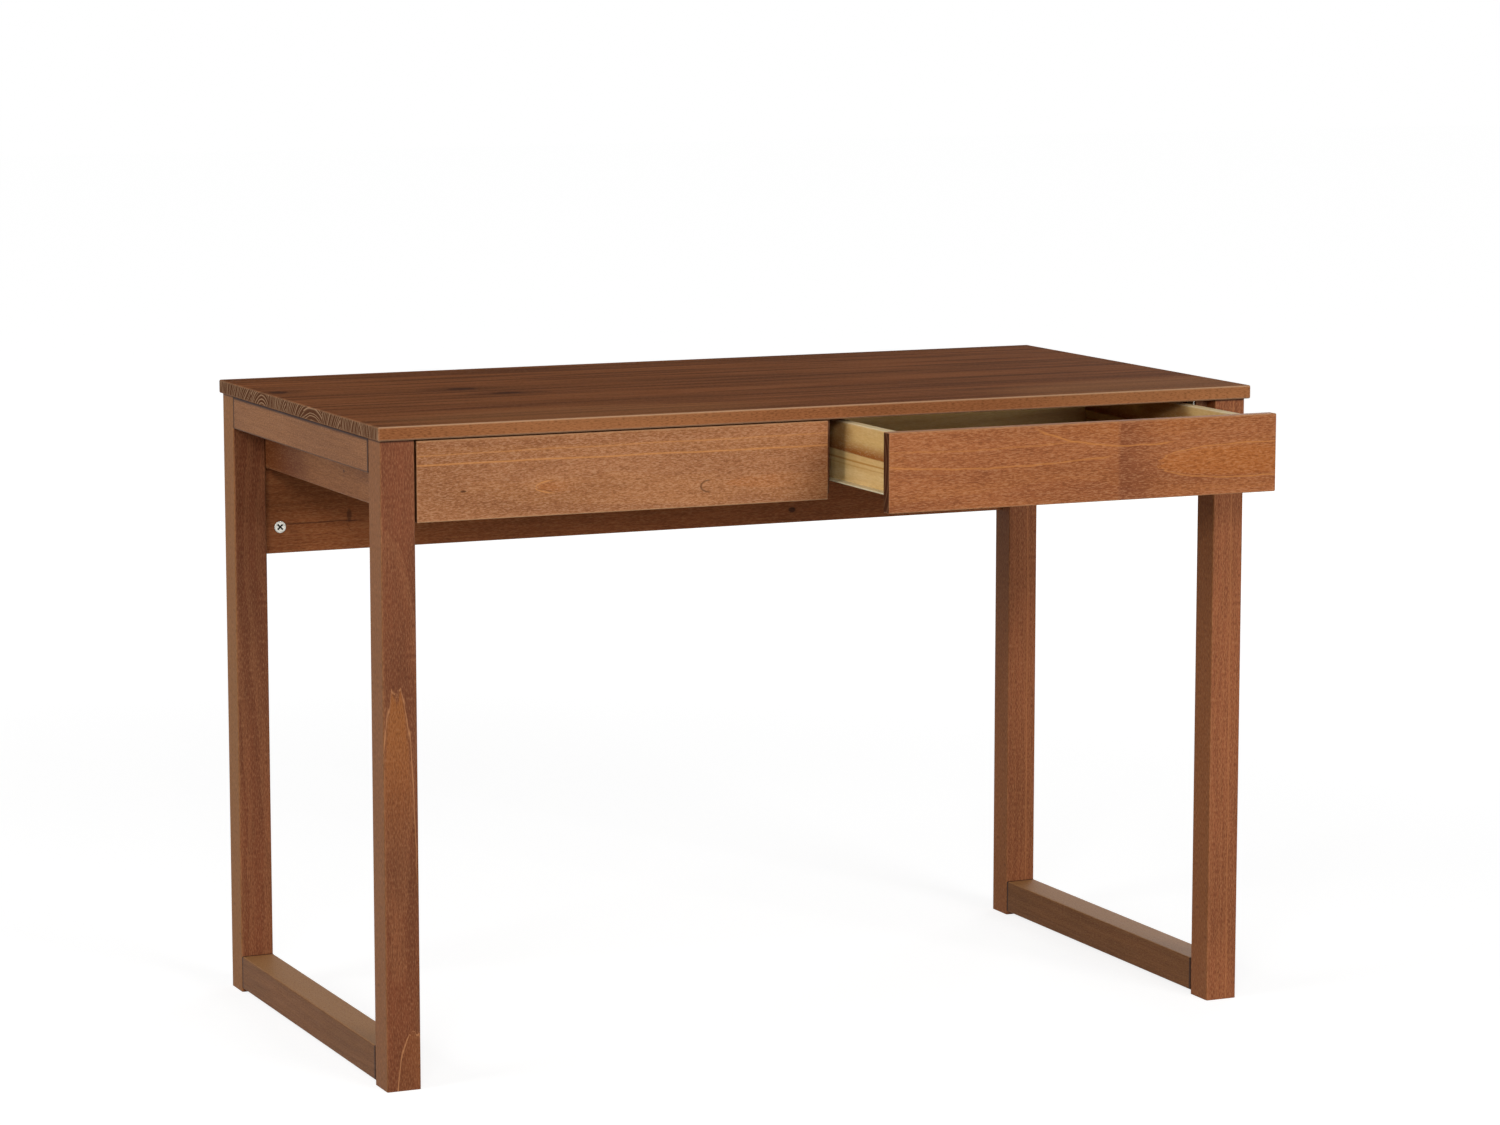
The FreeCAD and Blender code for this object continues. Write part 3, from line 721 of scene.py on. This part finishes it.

# %% [markdown]
# ## Drawer fronts
# The fronts are the lightest boards. The left one has two thin pale lines near its top and a small
# dark smile of a knot. The right one is two lengths of wood jointed end to end: long arcs on the left
# length, and a flame that opens towards the right end of the other. End grain drinks the most stain,
# so the ends of the fronts are nearly black.

# %% Fronts
# Painted shade: the darker edge colour on the top and bottom faces deepens the gap under the top. The
# pale arris colour is a painted highlight.
LEFT_FRONT = toned(
    WALNUT,
    {
        "ground": "A66F49", "shade": "96623F", "ring": "C4854C", "fibre": "7A482B", "fleck": "C99E7A",
        "edge": "86593A", "end": "40200F", "worn": "C89A70",
    },
    ring_share=0.12, fleck_size=(3.6, 1.0), edge_share=0.8, worn_share=0.6, gloss=0.05,
)
# Painted highlight: the lighter edge colour on the top and bottom faces, and the pale arris colour.
RIGHT_FRONT = toned(
    WALNUT,
    {
        "ground": "A3633B", "shade": "905432", "ring": "BE7C42", "fibre": "74402A", "fleck": "C49268",
        "edge": "B57E52", "end": "40200F",
    },
    ring_share=0.12, edge_share=0.8, worn_share=0.4, gloss=0.05,
)
pine(
    "left_drawer_front", "x", "z", LEFT_FRONT, (-22.0, 92.0), 18.5,
    (
        ("streak", 0.5, 28.6, 31.5, 1.4),
        ("streak", 0.75, 18.3, 17.4, 1.7),
        ("flame", 0.45, -108.0, -13.0, 34.0, 7.0, 1.6),
        ("rim", 0.9, -110.0, -13.0, 34.0, 8.0, 0.8),
        ("flame", 0.3, 120.0, -20.0, 90.0, 9.0, 1.6),
        ("crack", 0.6, 101.0, -22.0, 10.0, 6.6, 86.0, 104.0),
        ("knot", 0.7, -195.4, -13.1, 4.5, 1.5),
    ),
    spacing=9.0,
)
pine(
    "right_drawer_front", "x", "z", RIGHT_FRONT, (8.0, 84.0), 20.3,
    (
        ("glow", 0.3, 70.0, 62.0, 150.0, 45.0),
        ("joint", 0.62, 43.0, 75.0),
        ("flame", 0.7, 94.0, -6.0, 100.0, 19.4, 6.0),
        ("rim", 0.75, 94.0, -6.0, 100.0, 19.4, 6.0),
        ("arc", 0.75, 70.0, 62.0, 150.0, 45.0, -70.0, 120.0),
        ("arc", 0.6, -110.0, 40.0, 260.0, 40.0, -270.0, 40.0),
        ("arc", 0.4, -150.0, 46.0, 240.0, 25.0, -270.0, 0.0),
    ),
    spacing=9.0,
)

# %% [markdown]
# ## Drawer boxes
# The boxes are raw pine, with a brown band of heartwood along the upper part of each side, and a thin
# sheet for the bottom. On each side a darker brown patch at the top, near the middle of its length, is
# painted shade.

# %% Boxes
SHEET = toned(RAW, {"ground": "C9A878", "shade": "BC9A69", "ring": "B08A58", "fibre": "9F7A4C"})
SIDE_MARKS = (
    # Painted shade: this patch darkens the top of the side near the middle of its length.
    ("glow", 0.58, -15.0, 22.0, 75.0, 20.0),
    ("band", 0.95, -1.0, 6.0, 20.0),
    ("streak", 0.9, -8.5, -4.0, 2.0),
    ("streak", 0.45, -14.0, -10.0, 1.5),
)
for number, side in enumerate(("left", "right")):
    for place, turn in (("inner", 1.0), ("outer", -1.0)):
        node = f"{side}_drawer_{place}_side"
        pine(node, "y", "z", RAW, (14.0, 30.0 * turn), 22.4 + number + turn, SIDE_MARKS, spacing=8.0)
    pine(f"{side}_drawer_back", "x", "z", RAW, (36.0, 44.0), 26.8 + number)
    pine(f"{side}_drawer_bottom", "x", "y", SHEET, (0.0, 180.0), 28.2 + number, spacing=14.0)

# %% [markdown]
# ## Steel, nylon and dowels
# The slides are cream-painted steel, the brackets, screws and cams bright zinc, and the rollers
# white nylon. Each is nearly plain, so what makes it real is a little cloudiness in its gloss.

# %% Small finishes
FINER = 9.0
PLAIN_STRENGTH, PLAIN_DEPTH = 0.12, 0.2 * MM


def plain_finish(name, ground, mottle, patch_size, fixed, rough_span):
    """A nearly even surface, whose colour and roughness drift in patches sized in mm."""
    finish = Finish(name, fixed)
    place = finish.node("ShaderNodeTexCoord", {}, {}, "Object")
    scale = 1.0 / (patch_size * MM)
    noise = "ShaderNodeTexNoise"
    cloud = finish.node(noise, {}, {"Vector": place, "Scale": scale, "Detail": 4.0})
    fine = finish.node(noise, {}, {"Vector": place, "Scale": FINER * scale, "Detail": 2.0})
    finish.feed("Base Color", finish.mix(cloud.ease(0.35, 0.65), paint(ground), paint(mottle)))
    finish.feed("Roughness", cloud * (rough_span[1] - rough_span[0]) + rough_span[0])
    finish.relief(fine, PLAIN_STRENGTH, PLAIN_DEPTH)
    return finish


SLIDE_PAINT = plain_finish("slide_paint", "E2D6B4", "D6C8A2", 9.0, {SPECULAR: 0.5}, (0.34, 0.48))
ZINC = plain_finish("bright_zinc", "C9C6BD", "ABA89F", 2.5, {"Metallic": 1.0}, (0.28, 0.46))
# Painted shade: the dark finish that fills the driver recesses.
RECESS = plain_finish("driver_recess", "3A362F", "26231E", 2.0, {"Metallic": 0.5}, (0.5, 0.7))
NYLON = plain_finish("roller_nylon", "E6E2D6", "DAD4C4", 6.0, {SPECULAR: 0.4}, (0.42, 0.56))
BEECH = plain_finish("dowel_beech", "C79B68", "B3854F", 3.0, {SPECULAR: 0.2}, (0.6, 0.75))
SLOTS = {"slide_steel": SLIDE_PAINT, "zinc_steel": ZINC, "roller_nylon": NYLON, "dowel_beech": BEECH}
dressed = [entry for entry in frame["record"]["subparts"] if entry["material_slot"] in SLOTS]
for entry in dressed:
    SLOTS[entry["material_slot"]].dress(entry["node"])
print("plain nodes dressed:", len(dressed))

# %% [markdown]
# ## Modelling by hand, from code
# The small hardware is modelled with the same operators as the menus. Each one acts on what is
# selected, so two helpers choose the object, and the faces or edges of it, by where they lie.


# %% Choosing what to work on
def only(item):
    """Leaves one object selected and active."""
    bpy.ops.object.select_all(action="DESELECT")
    item.select_set(True)
    bpy.context.view_layer.objects.active = item


def pick(kind, test):
    """In edit mode, selects the faces or edges of the active mesh whose middle passes a test."""
    bpy.ops.object.mode_set(mode="EDIT")
    bpy.ops.mesh.select_mode(type=kind)
    bpy.ops.mesh.select_all(action="DESELECT")
    bpy.ops.object.mode_set(mode="OBJECT")
    mesh = bpy.context.object.data
    for part in mesh.polygons if kind == "FACE" else mesh.edges:
        corners = [mesh.vertices[number].co for number in part.vertices]
        part.select = test(sum(corners, Vector()) / len(corners))
    bpy.ops.object.mode_set(mode="EDIT")


# %% [markdown]
# ## Drums and cuts
# Turned pieces start as a drum up the Z axis. A cutter is a shape that a Boolean modifier takes out of
# a piece; the cross of a screw head is two slots that narrow downwards.

# %% Drums and cuts
DRUM_SIDES = 40
RECESS_TAPER = 0.5


def drum(name, radius, low, high):
    """A cylinder up the Z axis, from low to high."""
    middle = (0.0, 0.0, (low + high) / 2)
    bpy.ops.mesh.primitive_cylinder_add(
        vertices=DRUM_SIDES, radius=radius, depth=high - low, location=middle
    )
    bpy.ops.object.transform_apply(location=True)
    bpy.context.object.name = name
    return bpy.context.object


def pull_down(depth):
    """Extrudes what is selected down the Z axis."""
    bpy.ops.mesh.extrude_region_move(TRANSFORM_OT_translate={"value": (0.0, 0.0, -depth)})


def carve(item, cutter):
    """Takes a cutter's shape out of an item."""
    only(item)
    cut = item.modifiers.new("carve", "BOOLEAN")
    cut.operation = "DIFFERENCE"
    cut.object = cutter
    bpy.ops.object.modifier_apply(modifier=cut.name)
    bpy.data.objects.remove(cutter, do_unlink=True)


def cross_recess(item, reach, width, top, depth, turn):
    """Cuts the cross that a screwdriver fits, narrowing as it goes down."""
    for angle in (turn, turn + math.pi / 2):
        bpy.ops.mesh.primitive_cube_add(
            size=1.0, location=(0.0, 0.0, top), rotation=(0.0, 0.0, angle),
            scale=(2 * reach, width, 2 * depth),
        )
        bpy.ops.object.transform_apply(location=True, rotation=True, scale=True)
        cutter = bpy.context.object
        pick("FACE", lambda middle: middle.z < top - 0.9 * depth)
        bpy.ops.transform.resize(value=(RECESS_TAPER, RECESS_TAPER, 1.0))
        bpy.ops.object.mode_set(mode="OBJECT")
        carve(item, cutter)


def finish_steel(item, reach, low, high):
    """Bright zinc, with painted shade in the recess: near the axis, between low and high."""
    item.data.materials.append(ZINC.material)
    item.data.materials.append(RECESS.material)
    for face in item.data.polygons:
        inside = face.center.xy.length < reach and low < face.center.z < high
        face.material_index = 1 if inside else 0


# %% [markdown]
# ## Where the hardware sits
# The CAD already holds every screw, cam and bracket as a plain solid in its place. Splitting a copy of
# a CAD group into its loose parts gives the seat of each one, so the modelled pieces land exactly
# where the CAD ones are.

# %% Seats
WELD, LEVEL = 1e-6, 1e-5


def loose_parts(node):
    """The corners of each separate solid of a CAD node."""
    copy = frame["nodes"][node].copy()
    copy.data = copy.data.copy()
    bpy.context.scene.collection.objects.link(copy)
    only(copy)
    bpy.ops.object.mode_set(mode="EDIT")
    bpy.ops.mesh.select_all(action="SELECT")
    bpy.ops.mesh.remove_doubles(threshold=WELD)
    bpy.ops.mesh.separate(type="LOOSE")
    bpy.ops.object.mode_set(mode="OBJECT")
    parts = list(bpy.context.selected_objects)
    corners = [[vertex.co.copy() for vertex in part.data.vertices] for part in parts]
    for part in parts:
        bpy.data.objects.remove(part, do_unlink=True)
    return corners


def extent(points):
    """The two corners of the box round some points."""
    low = Vector([min(point[axis] for point in points) for axis in range(3)])
    high = Vector([max(point[axis] for point in points) for axis in range(3)])
    return low, high


def screw_seats(node):
    """For each screw of a group, the place and turn that puts a blank's seat under its head."""
    seats = []
    for points in loose_parts(node):
        low, high = extent(points)
        axis = max(range(3), key=lambda index: high[index] - low[index])
        levels = sorted({round(point[axis], 6) for point in points})
        spans = []
        for end in (low[axis], high[axis]):
            first, last = extent([point for point in points if abs(point[axis] - end) < LEVEL])
            spans.append((last - first).length)
        facing = Vector((0.0, 0.0, 0.0))
        facing[axis] = 1.0 if spans[1] > spans[0] else -1.0
        seat = (low + high) / 2
        seat[axis] = levels[1] if facing[axis] < 0 else levels[-2]
        turn = facing.to_track_quat("Z", "X").to_matrix().to_4x4()
        seats.append(Matrix.Translation(seat) @ turn)
    return seats


# %% [markdown]
# ## Copies
# A piece is modelled once, as a blank at the origin. A copy with a mesh of its own goes to each seat,
# the copies of one CAD group are joined, and the result takes the place of that group.

# %% Copies
SMOOTH_ANGLE = math.radians(35.0)


def set_out(blank, name, seats):
    """A copy of a blank at each seat, joined into one piece."""
    copies = []
    for seat in seats:
        item = blank.copy()
        item.data = blank.data.copy()
        bpy.context.scene.collection.objects.link(item)
        item.matrix_world = seat
        only(item)
        bpy.ops.object.transform_apply(location=True, rotation=True, scale=True)
        copies.append(item)
    only(copies[0])
    for item in copies:
        item.select_set(True)
    if len(copies) > 1:
        bpy.ops.object.join()
    piece = bpy.context.object
    bpy.ops.object.shade_smooth_by_angle(angle=SMOOTH_ANGLE)
    piece.name = name
    print(name, "copies:", len(seats), "faces:", len(piece.data.polygons))
    return piece


def fit(piece, body, slot, node):
    """Puts a piece in place of a CAD node, with the slot's finish if it has none yet."""
    if not piece.data.materials:
        piece.data.materials.append(SLOTS[slot].material)
    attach(piece, body)
    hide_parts(node)


# %% [markdown]
# ## Cross-head screws
# A screw starts as the drum of its head. Its upper rim is bevelled into a low dome, its lower face is
# inset and pulled out into the shank, and the last stretch is drawn in to a point. The cross is cut
# last. Four sizes serve every joint. Each is the radius and height of the head, the radius and length
# of the shank and the depth of the cross, in mm.

# %% Screws
DOME = 0.55
POINT, POINT_TAPER = 0.2, 0.2
CROSS_REACH, CROSS_WIDTH = 0.62, 0.3
DARK_REACH, DARK_LOW, DARK_HIGH = 0.65, 1.1, 0.05


def screw_blank(head_radius, head_height, shank_radius, shank_length, recess):
    """A screw with its seat at the origin and its head up the Z axis."""
    item = drum("screw_blank", head_radius, 0.0, head_height)
    pick("EDGE", lambda middle: middle.z > 0.99 * head_height)
    bpy.ops.mesh.bevel(offset=DOME * head_height, segments=3)
    pick("FACE", lambda middle: middle.z < 0.01 * head_height)
    bpy.ops.mesh.inset(thickness=head_radius - shank_radius)
    pull_down((1.0 - POINT) * shank_length)
    pull_down(POINT * shank_length)
    bpy.ops.transform.resize(value=(POINT_TAPER, POINT_TAPER, 1.0))
    bpy.ops.object.mode_set(mode="OBJECT")
    cross_recess(item, CROSS_REACH * head_radius, CROSS_WIDTH * head_radius, head_height, recess, 0.0)
    low, high = head_height - DARK_LOW * recess, head_height - DARK_HIGH * recess
    finish_steel(item, DARK_REACH * head_radius, low, high)
    return item


SCREWS = (
    ((4.0, 3.0, 2.0, 26.0, 2.0), {"board_screws": "desk"}),
    ((4.0, 3.0, 2.0, 36.0, 2.0), {"partition_screws": "desk"}),
    ((3.2, 1.8, 1.7, 9.5, 1.4), {"bracket_screws": "desk"}),
    (
        (3.2, 0.6, 1.7, 5.8, 1.2),
        {
            "slide_screws": "desk",
            "left_member_screws": "left_drawer",
            "right_member_screws": "right_drawer",
        },
    ),
)
for sizes, groups in SCREWS:
    blank = screw_blank(*[size * MM for size in sizes])
    for node, body in groups.items():
        piece = set_out(blank, f"{node}_cross_head", screw_seats(node))
        fit(piece, body, "zinc_steel", node)
    bpy.data.objects.remove(blank, do_unlink=True)

# %% [markdown]
# ## Cam locks
# A cam lock is a zinc drum let into the back panel, flush with its face. Its rim is bevelled, its
# face sunk a little inside the rim, and a large cross turns it, set at the slant it has when locked.

# %% Cams
CAM_RADIUS, CAM_HEIGHT, CAM_BEVEL = 7.45 * MM, 12.0 * MM, 0.5 * MM
CAM_RIM, CAM_SINK, CAM_STEP = 1.1 * MM, 0.35 * MM, 0.3 * MM
CAM_REACH, CAM_SLOT, CAM_DEPTH, CAM_SLANT = 6.4 * MM, 3.0 * MM, 2.4 * MM, math.pi / 4
CAM_DARK = (5.2 * MM, -2.6 * MM, -0.4 * MM)
blank = drum("cam_blank", CAM_RADIUS, -CAM_HEIGHT, 0.0)
pick("EDGE", lambda middle: middle.z > -0.1 * MM)
bpy.ops.mesh.bevel(offset=CAM_BEVEL, segments=3)
pick("FACE", lambda middle: middle.z > -0.01 * MM)
bpy.ops.mesh.inset(thickness=CAM_RIM)
pull_down(CAM_SINK)
bpy.ops.mesh.inset(thickness=CAM_STEP)
bpy.ops.object.mode_set(mode="OBJECT")
cross_recess(blank, CAM_REACH, CAM_SLOT, 0.0, CAM_DEPTH, CAM_SLANT)
finish_steel(blank, *CAM_DARK)
cam_seats = []
for points in loose_parts("cam_locks"):
    low, high = extent(points)
    face = Vector(((low.x + high.x) / 2, low.y, (low.z + high.z) / 2))
    cam_seats.append(Matrix.Translation(face) @ Matrix.Rotation(math.pi / 2, 4, "X"))
fit(set_out(blank, "cam_locks_drums", cam_seats), "desk", "zinc_steel", "cam_locks")
bpy.data.objects.remove(blank, do_unlink=True)

# %% [markdown]
# ## Angle brackets
# Six bent steel brackets hold the top. Each starts as a flat plate under the top; one edge is pulled
# down into the second leg, the fold is bevelled round, and Solidify gives the sheet its thickness.

# %% Bracket sheet
BRACKET_LEG, BRACKET_WIDTH, BRACKET_STEEL = 20.0 * MM, 16.0 * MM, 2.0 * MM
FOLD_BEVEL, EDGE_BEVEL = 1.5 * MM, 0.3 * MM
plate_middle = ((BRACKET_LEG + BRACKET_STEEL / 2) / 2, 0.0, -BRACKET_STEEL / 2)
bpy.ops.mesh.primitive_plane_add(size=1.0, location=plate_middle)
blank = bpy.context.object
blank.scale = (BRACKET_LEG - BRACKET_STEEL / 2, BRACKET_WIDTH, 1.0)
bpy.ops.object.transform_apply(location=True, scale=True)
pick("EDGE", lambda middle: middle.x < BRACKET_STEEL)
pull_down(BRACKET_LEG - BRACKET_STEEL / 2)
pick("EDGE", lambda middle: middle.x < BRACKET_STEEL and abs(middle.z + BRACKET_STEEL / 2) < WELD)
bpy.ops.mesh.bevel(offset=FOLD_BEVEL, segments=4)
bpy.ops.mesh.select_all(action="SELECT")
bpy.ops.mesh.normals_make_consistent(inside=False)
bpy.ops.object.mode_set(mode="OBJECT")
sheet = blank.modifiers.new("sheet", "SOLIDIFY")
sheet.thickness = BRACKET_STEEL
sheet.offset = 0.0
bpy.ops.object.modifier_apply(modifier=sheet.name)
soften = blank.modifiers.new("soften", "BEVEL")
soften.width = EDGE_BEVEL
soften.segments = 2
bpy.ops.object.modifier_apply(modifier=soften.name)
print("bracket faces:", len(blank.data.polygons))

# %% [markdown]
# The sheet is drilled for its two screws, and a copy goes to each seat. On the right half of the desk
# a bracket is turned round, which shows in the CAD solid: its lower leg lies on the other side.

# %% Brackets
BRACKET_HOLE = 13.0 * MM
DRILL_RADIUS, DRILL_REACH = 1.9 * MM, 5.0 * MM
for place, turn in (((BRACKET_HOLE, 0.0, 0.0), 0.0), ((0.0, 0.0, -BRACKET_HOLE), math.pi / 2)):
    drill = drum("drill", DRILL_RADIUS, -DRILL_REACH, DRILL_REACH)
    drill.matrix_world = Matrix.Translation(place) @ Matrix.Rotation(turn, 4, "Y")
    carve(blank, drill)
bracket_seats = []
for points in loose_parts("angle_brackets"):
    low, high = extent(points)
    foot = [point.x for point in points if point.z < low.z + 1.0 * MM]
    turned = sum(foot) / len(foot) > (low.x + high.x) / 2
    corner = Vector((high.x if turned else low.x, (low.y + high.y) / 2, high.z))
    turn = Matrix.Rotation(math.pi if turned else 0.0, 4, "Z")
    bracket_seats.append(Matrix.Translation(corner) @ turn)
fit(set_out(blank, "angle_brackets_bent", bracket_seats), "desk", "zinc_steel", "angle_brackets")
bpy.data.objects.remove(blank, do_unlink=True)

# %% [markdown]
# ## Nylon rollers
# Each slide has a roller on its fixed channel and one on its moving runner. A roller is a drum with a
# softened rim, a sunk web and a raised hub on both faces, bored for its pin. It rides its own body, so
# it turns as the drawer runs.

# %% Rollers
ROLLER_RIM, ROLLER_WEB, WEB_SINK = 1.6 * MM, 3.2 * MM, 0.9 * MM
ROLLER_BEVEL, ROLLER_BORE = 0.6 * MM, 2.05 * MM
SLIDES = ("left_outer", "left_inner", "right_outer", "right_inner")


def roller_blank(radius, width):
    """A roller round the Z axis."""
    item = drum("roller_blank", radius, -width / 2, width / 2)
    pick("FACE", lambda middle: abs(middle.z) > 0.49 * width)
    for thickness, step in ((ROLLER_RIM, -WEB_SINK), (ROLLER_WEB, WEB_SINK)):
        bpy.ops.mesh.inset(thickness=thickness)
        bpy.ops.mesh.extrude_faces_move(TRANSFORM_OT_shrink_fatten={"value": step})
    pick("EDGE", lambda middle: abs(middle.z) > 0.49 * width and middle.xy.length > 0.95 * radius)
    bpy.ops.mesh.bevel(offset=ROLLER_BEVEL, segments=3)
    bpy.ops.object.mode_set(mode="OBJECT")
    carve(item, drum("bore", ROLLER_BORE, -width, width))
    return item


for end in ("front", "rear"):
    nodes = [f"{slide}_{end}_roller" for slide in SLIDES]
    low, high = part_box(nodes[0])
    blank = roller_blank((high.z - low.z) / 2, high.x - low.x)
    for node in nodes:
        low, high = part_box(node)
        seat = Matrix.Translation((low + high) / 2) @ Matrix.Rotation(math.pi / 2, 4, "Y")
        fit(set_out(blank, f"{node}_wheel", [seat]), node, "roller_nylon", node)
    bpy.data.objects.remove(blank, do_unlink=True)

# %% [markdown]
# ## Floor
# The desk stands on a plain pale floor. The floor looks white to the camera and in reflections, but
# lights the desk at an ordinary level. To those rays it is part glow and part shaded, which keeps the
# desk's shadow, and the glow grows a little with distance to hide the horizon.

# %% Floor
FLOOR_SIZE = 40.0
FLOOR_WHITE = 1.36
NEAR_GLOW, FAR_GLOW = 0.6, 0.7
NEAR_EDGE, FAR_EDGE = 1.0, 4.0
MATT_GREY = (0.45, 0.45, 0.45, 1.0)
PALE_GREY = (0.9, 0.9, 0.9, 1.0)


def bare(owner):
    """The emptied node tree of a material or a world."""
    owner.use_nodes = True
    owner.node_tree.nodes.clear()
    return Weave(owner.node_tree)


def seen(weave):
    """1 for rays that show the background: the camera's, and those in gloss and glass."""
    path = weave.node("ShaderNodeLightPath", {}, {}, "Is Camera Ray")
    return path.most(path.output("Is Glossy Ray")).most(path.output("Is Transmission Ray"))


bpy.ops.mesh.primitive_plane_add(size=FLOOR_SIZE)
floor = bpy.context.object
floor.name = "floor"
floor_look = bpy.data.materials.new("pale_floor")
weave = bare(floor_look)
matt = weave.node("ShaderNodeBsdfDiffuse", {}, {"Color": MATT_GREY})
pale = weave.node("ShaderNodeBsdfDiffuse", {}, {"Color": PALE_GREY})
glow = weave.node("ShaderNodeEmission", {}, {"Strength": FLOOR_WHITE})
place = weave.node("ShaderNodeTexCoord", {}, {}, "Object")
distance = weave.node("ShaderNodeVectorMath", {"operation": "LENGTH"}, {0: place}, "Value")
share = distance.ease(NEAR_EDGE, FAR_EDGE) * (FAR_GLOW - NEAR_GLOW) + NEAR_GLOW
shown = weave.node("ShaderNodeMixShader", {}, {0: share, 1: pale, 2: glow})
blend = weave.node("ShaderNodeMixShader", {}, {0: seen(weave), 1: matt, 2: shown})
weave.node("ShaderNodeOutputMaterial", {}, {"Surface": blend})
floor.data.materials.append(floor_look)
floor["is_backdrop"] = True
print("floor:", FLOOR_SIZE, "m")

# %% [markdown]
# ## Surroundings
# The world does the same: white where it is seen, and a soft even light from all round for the rest.

# %% World
AMBIENT = 0.16
WHITE = (1.0, 1.0, 1.0, 1.0)
world = bpy.data.worlds.new("studio")
bpy.context.scene.world = world
weave = bare(world)
soft = weave.node("ShaderNodeBackground", {}, {"Color": WHITE, "Strength": AMBIENT})
white = weave.node("ShaderNodeBackground", {}, {"Color": WHITE, "Strength": 1.0})
blend = weave.node("ShaderNodeMixShader", {}, {0: seen(weave), 1: soft, 2: white})
weave.node("ShaderNodeOutputWorld", {}, {"Surface": blend})
print("soft light:", AMBIENT)

# %% [markdown]
# ## Light
# A broad soft lamp in front, a little to the right, lights the drawer fronts and the legs evenly. One
# from the left lights the outer faces of the left frame and the side of the open drawer, and a weaker
# one between them reaches into the gap beside that drawer. A narrow one low in front shines into the
# drawer under the top, and one behind keeps the back and the right side from going dark.


# %% Lamps
def lamp(name, place, target, size, power):
    """A soft rectangular lamp at a place, facing a target."""
    data = bpy.data.lights.new(name, "AREA")
    data.shape = "RECTANGLE"
    data.size, data.size_y = size
    data.energy = power
    item = bpy.data.objects.new(name, data)
    bpy.context.scene.collection.objects.link(item)
    item.location = place
    item.rotation_euler = (Vector(target) - Vector(place)).to_track_quat("-Z", "Y").to_euler()
    print(name, "lamp:", power, "W")


lamp("key", (1.6, -5.8, 2.3), (0.0, 0.0, 0.55), (2.4, 1.4), 155.0)
lamp("low", (1.6, -5.8, 1.28), (0.0, 0.0, 0.7), (2.4, 0.3), 45.0)
lamp("side", (-4.8, -0.6, 1.8), (-0.4, 0.0, 0.5), (2.2, 1.8), 104.0)
lamp("fill", (-2.7, -4.9, 2.4), (0.0, 0.0, 0.6), (1.8, 0.9), 90.0)
lamp("back", (4.2, 3.8, 1.8), (0.0, 0.0, 0.5), (2.4, 1.4), 60.0)

# %% [markdown]
# ## Camera
# The photograph was taken from the front left, a little above the top, with a long lens: the upright
# edges stay almost parallel and the far frame is hardly smaller than the near one. The place, turn,
# tilt and lens were solved from the desk's corners in the photograph. The lens is not shifted, so the
# whole desk stays in the picture from any other side too.

# %% Camera
CAMERA_PLACE = Vector((-2.1774, -4.8069, 1.2901))
CAMERA_TURN = math.radians(24.300)
CAMERA_TILT = math.radians(8.103)
SENSOR_WIDTH = 36.0
FOCAL_PIXELS = 4474.8
IMAGE_WIDTH = 1500
CLIP_END = 100.0
camera_data = bpy.data.cameras.new("camera")
camera_data.sensor_width = SENSOR_WIDTH
camera_data.lens = SENSOR_WIDTH * FOCAL_PIXELS / IMAGE_WIDTH
camera_data.clip_end = CLIP_END
camera = bpy.data.objects.new("camera", camera_data)
bpy.context.scene.collection.objects.link(camera)
camera.location = CAMERA_PLACE
camera.rotation_euler = (math.pi / 2 - CAMERA_TILT, 0.0, -CAMERA_TURN)
bpy.context.scene.camera = camera
bpy.context.scene.view_settings.view_transform = "Standard"
print("lens:", round(camera_data.lens, 2), "mm")

# %% [markdown]
# ## Size
# The box round the dressed desk should be the CAD's own box; here it is worked out.

# %% Finish
low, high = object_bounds()
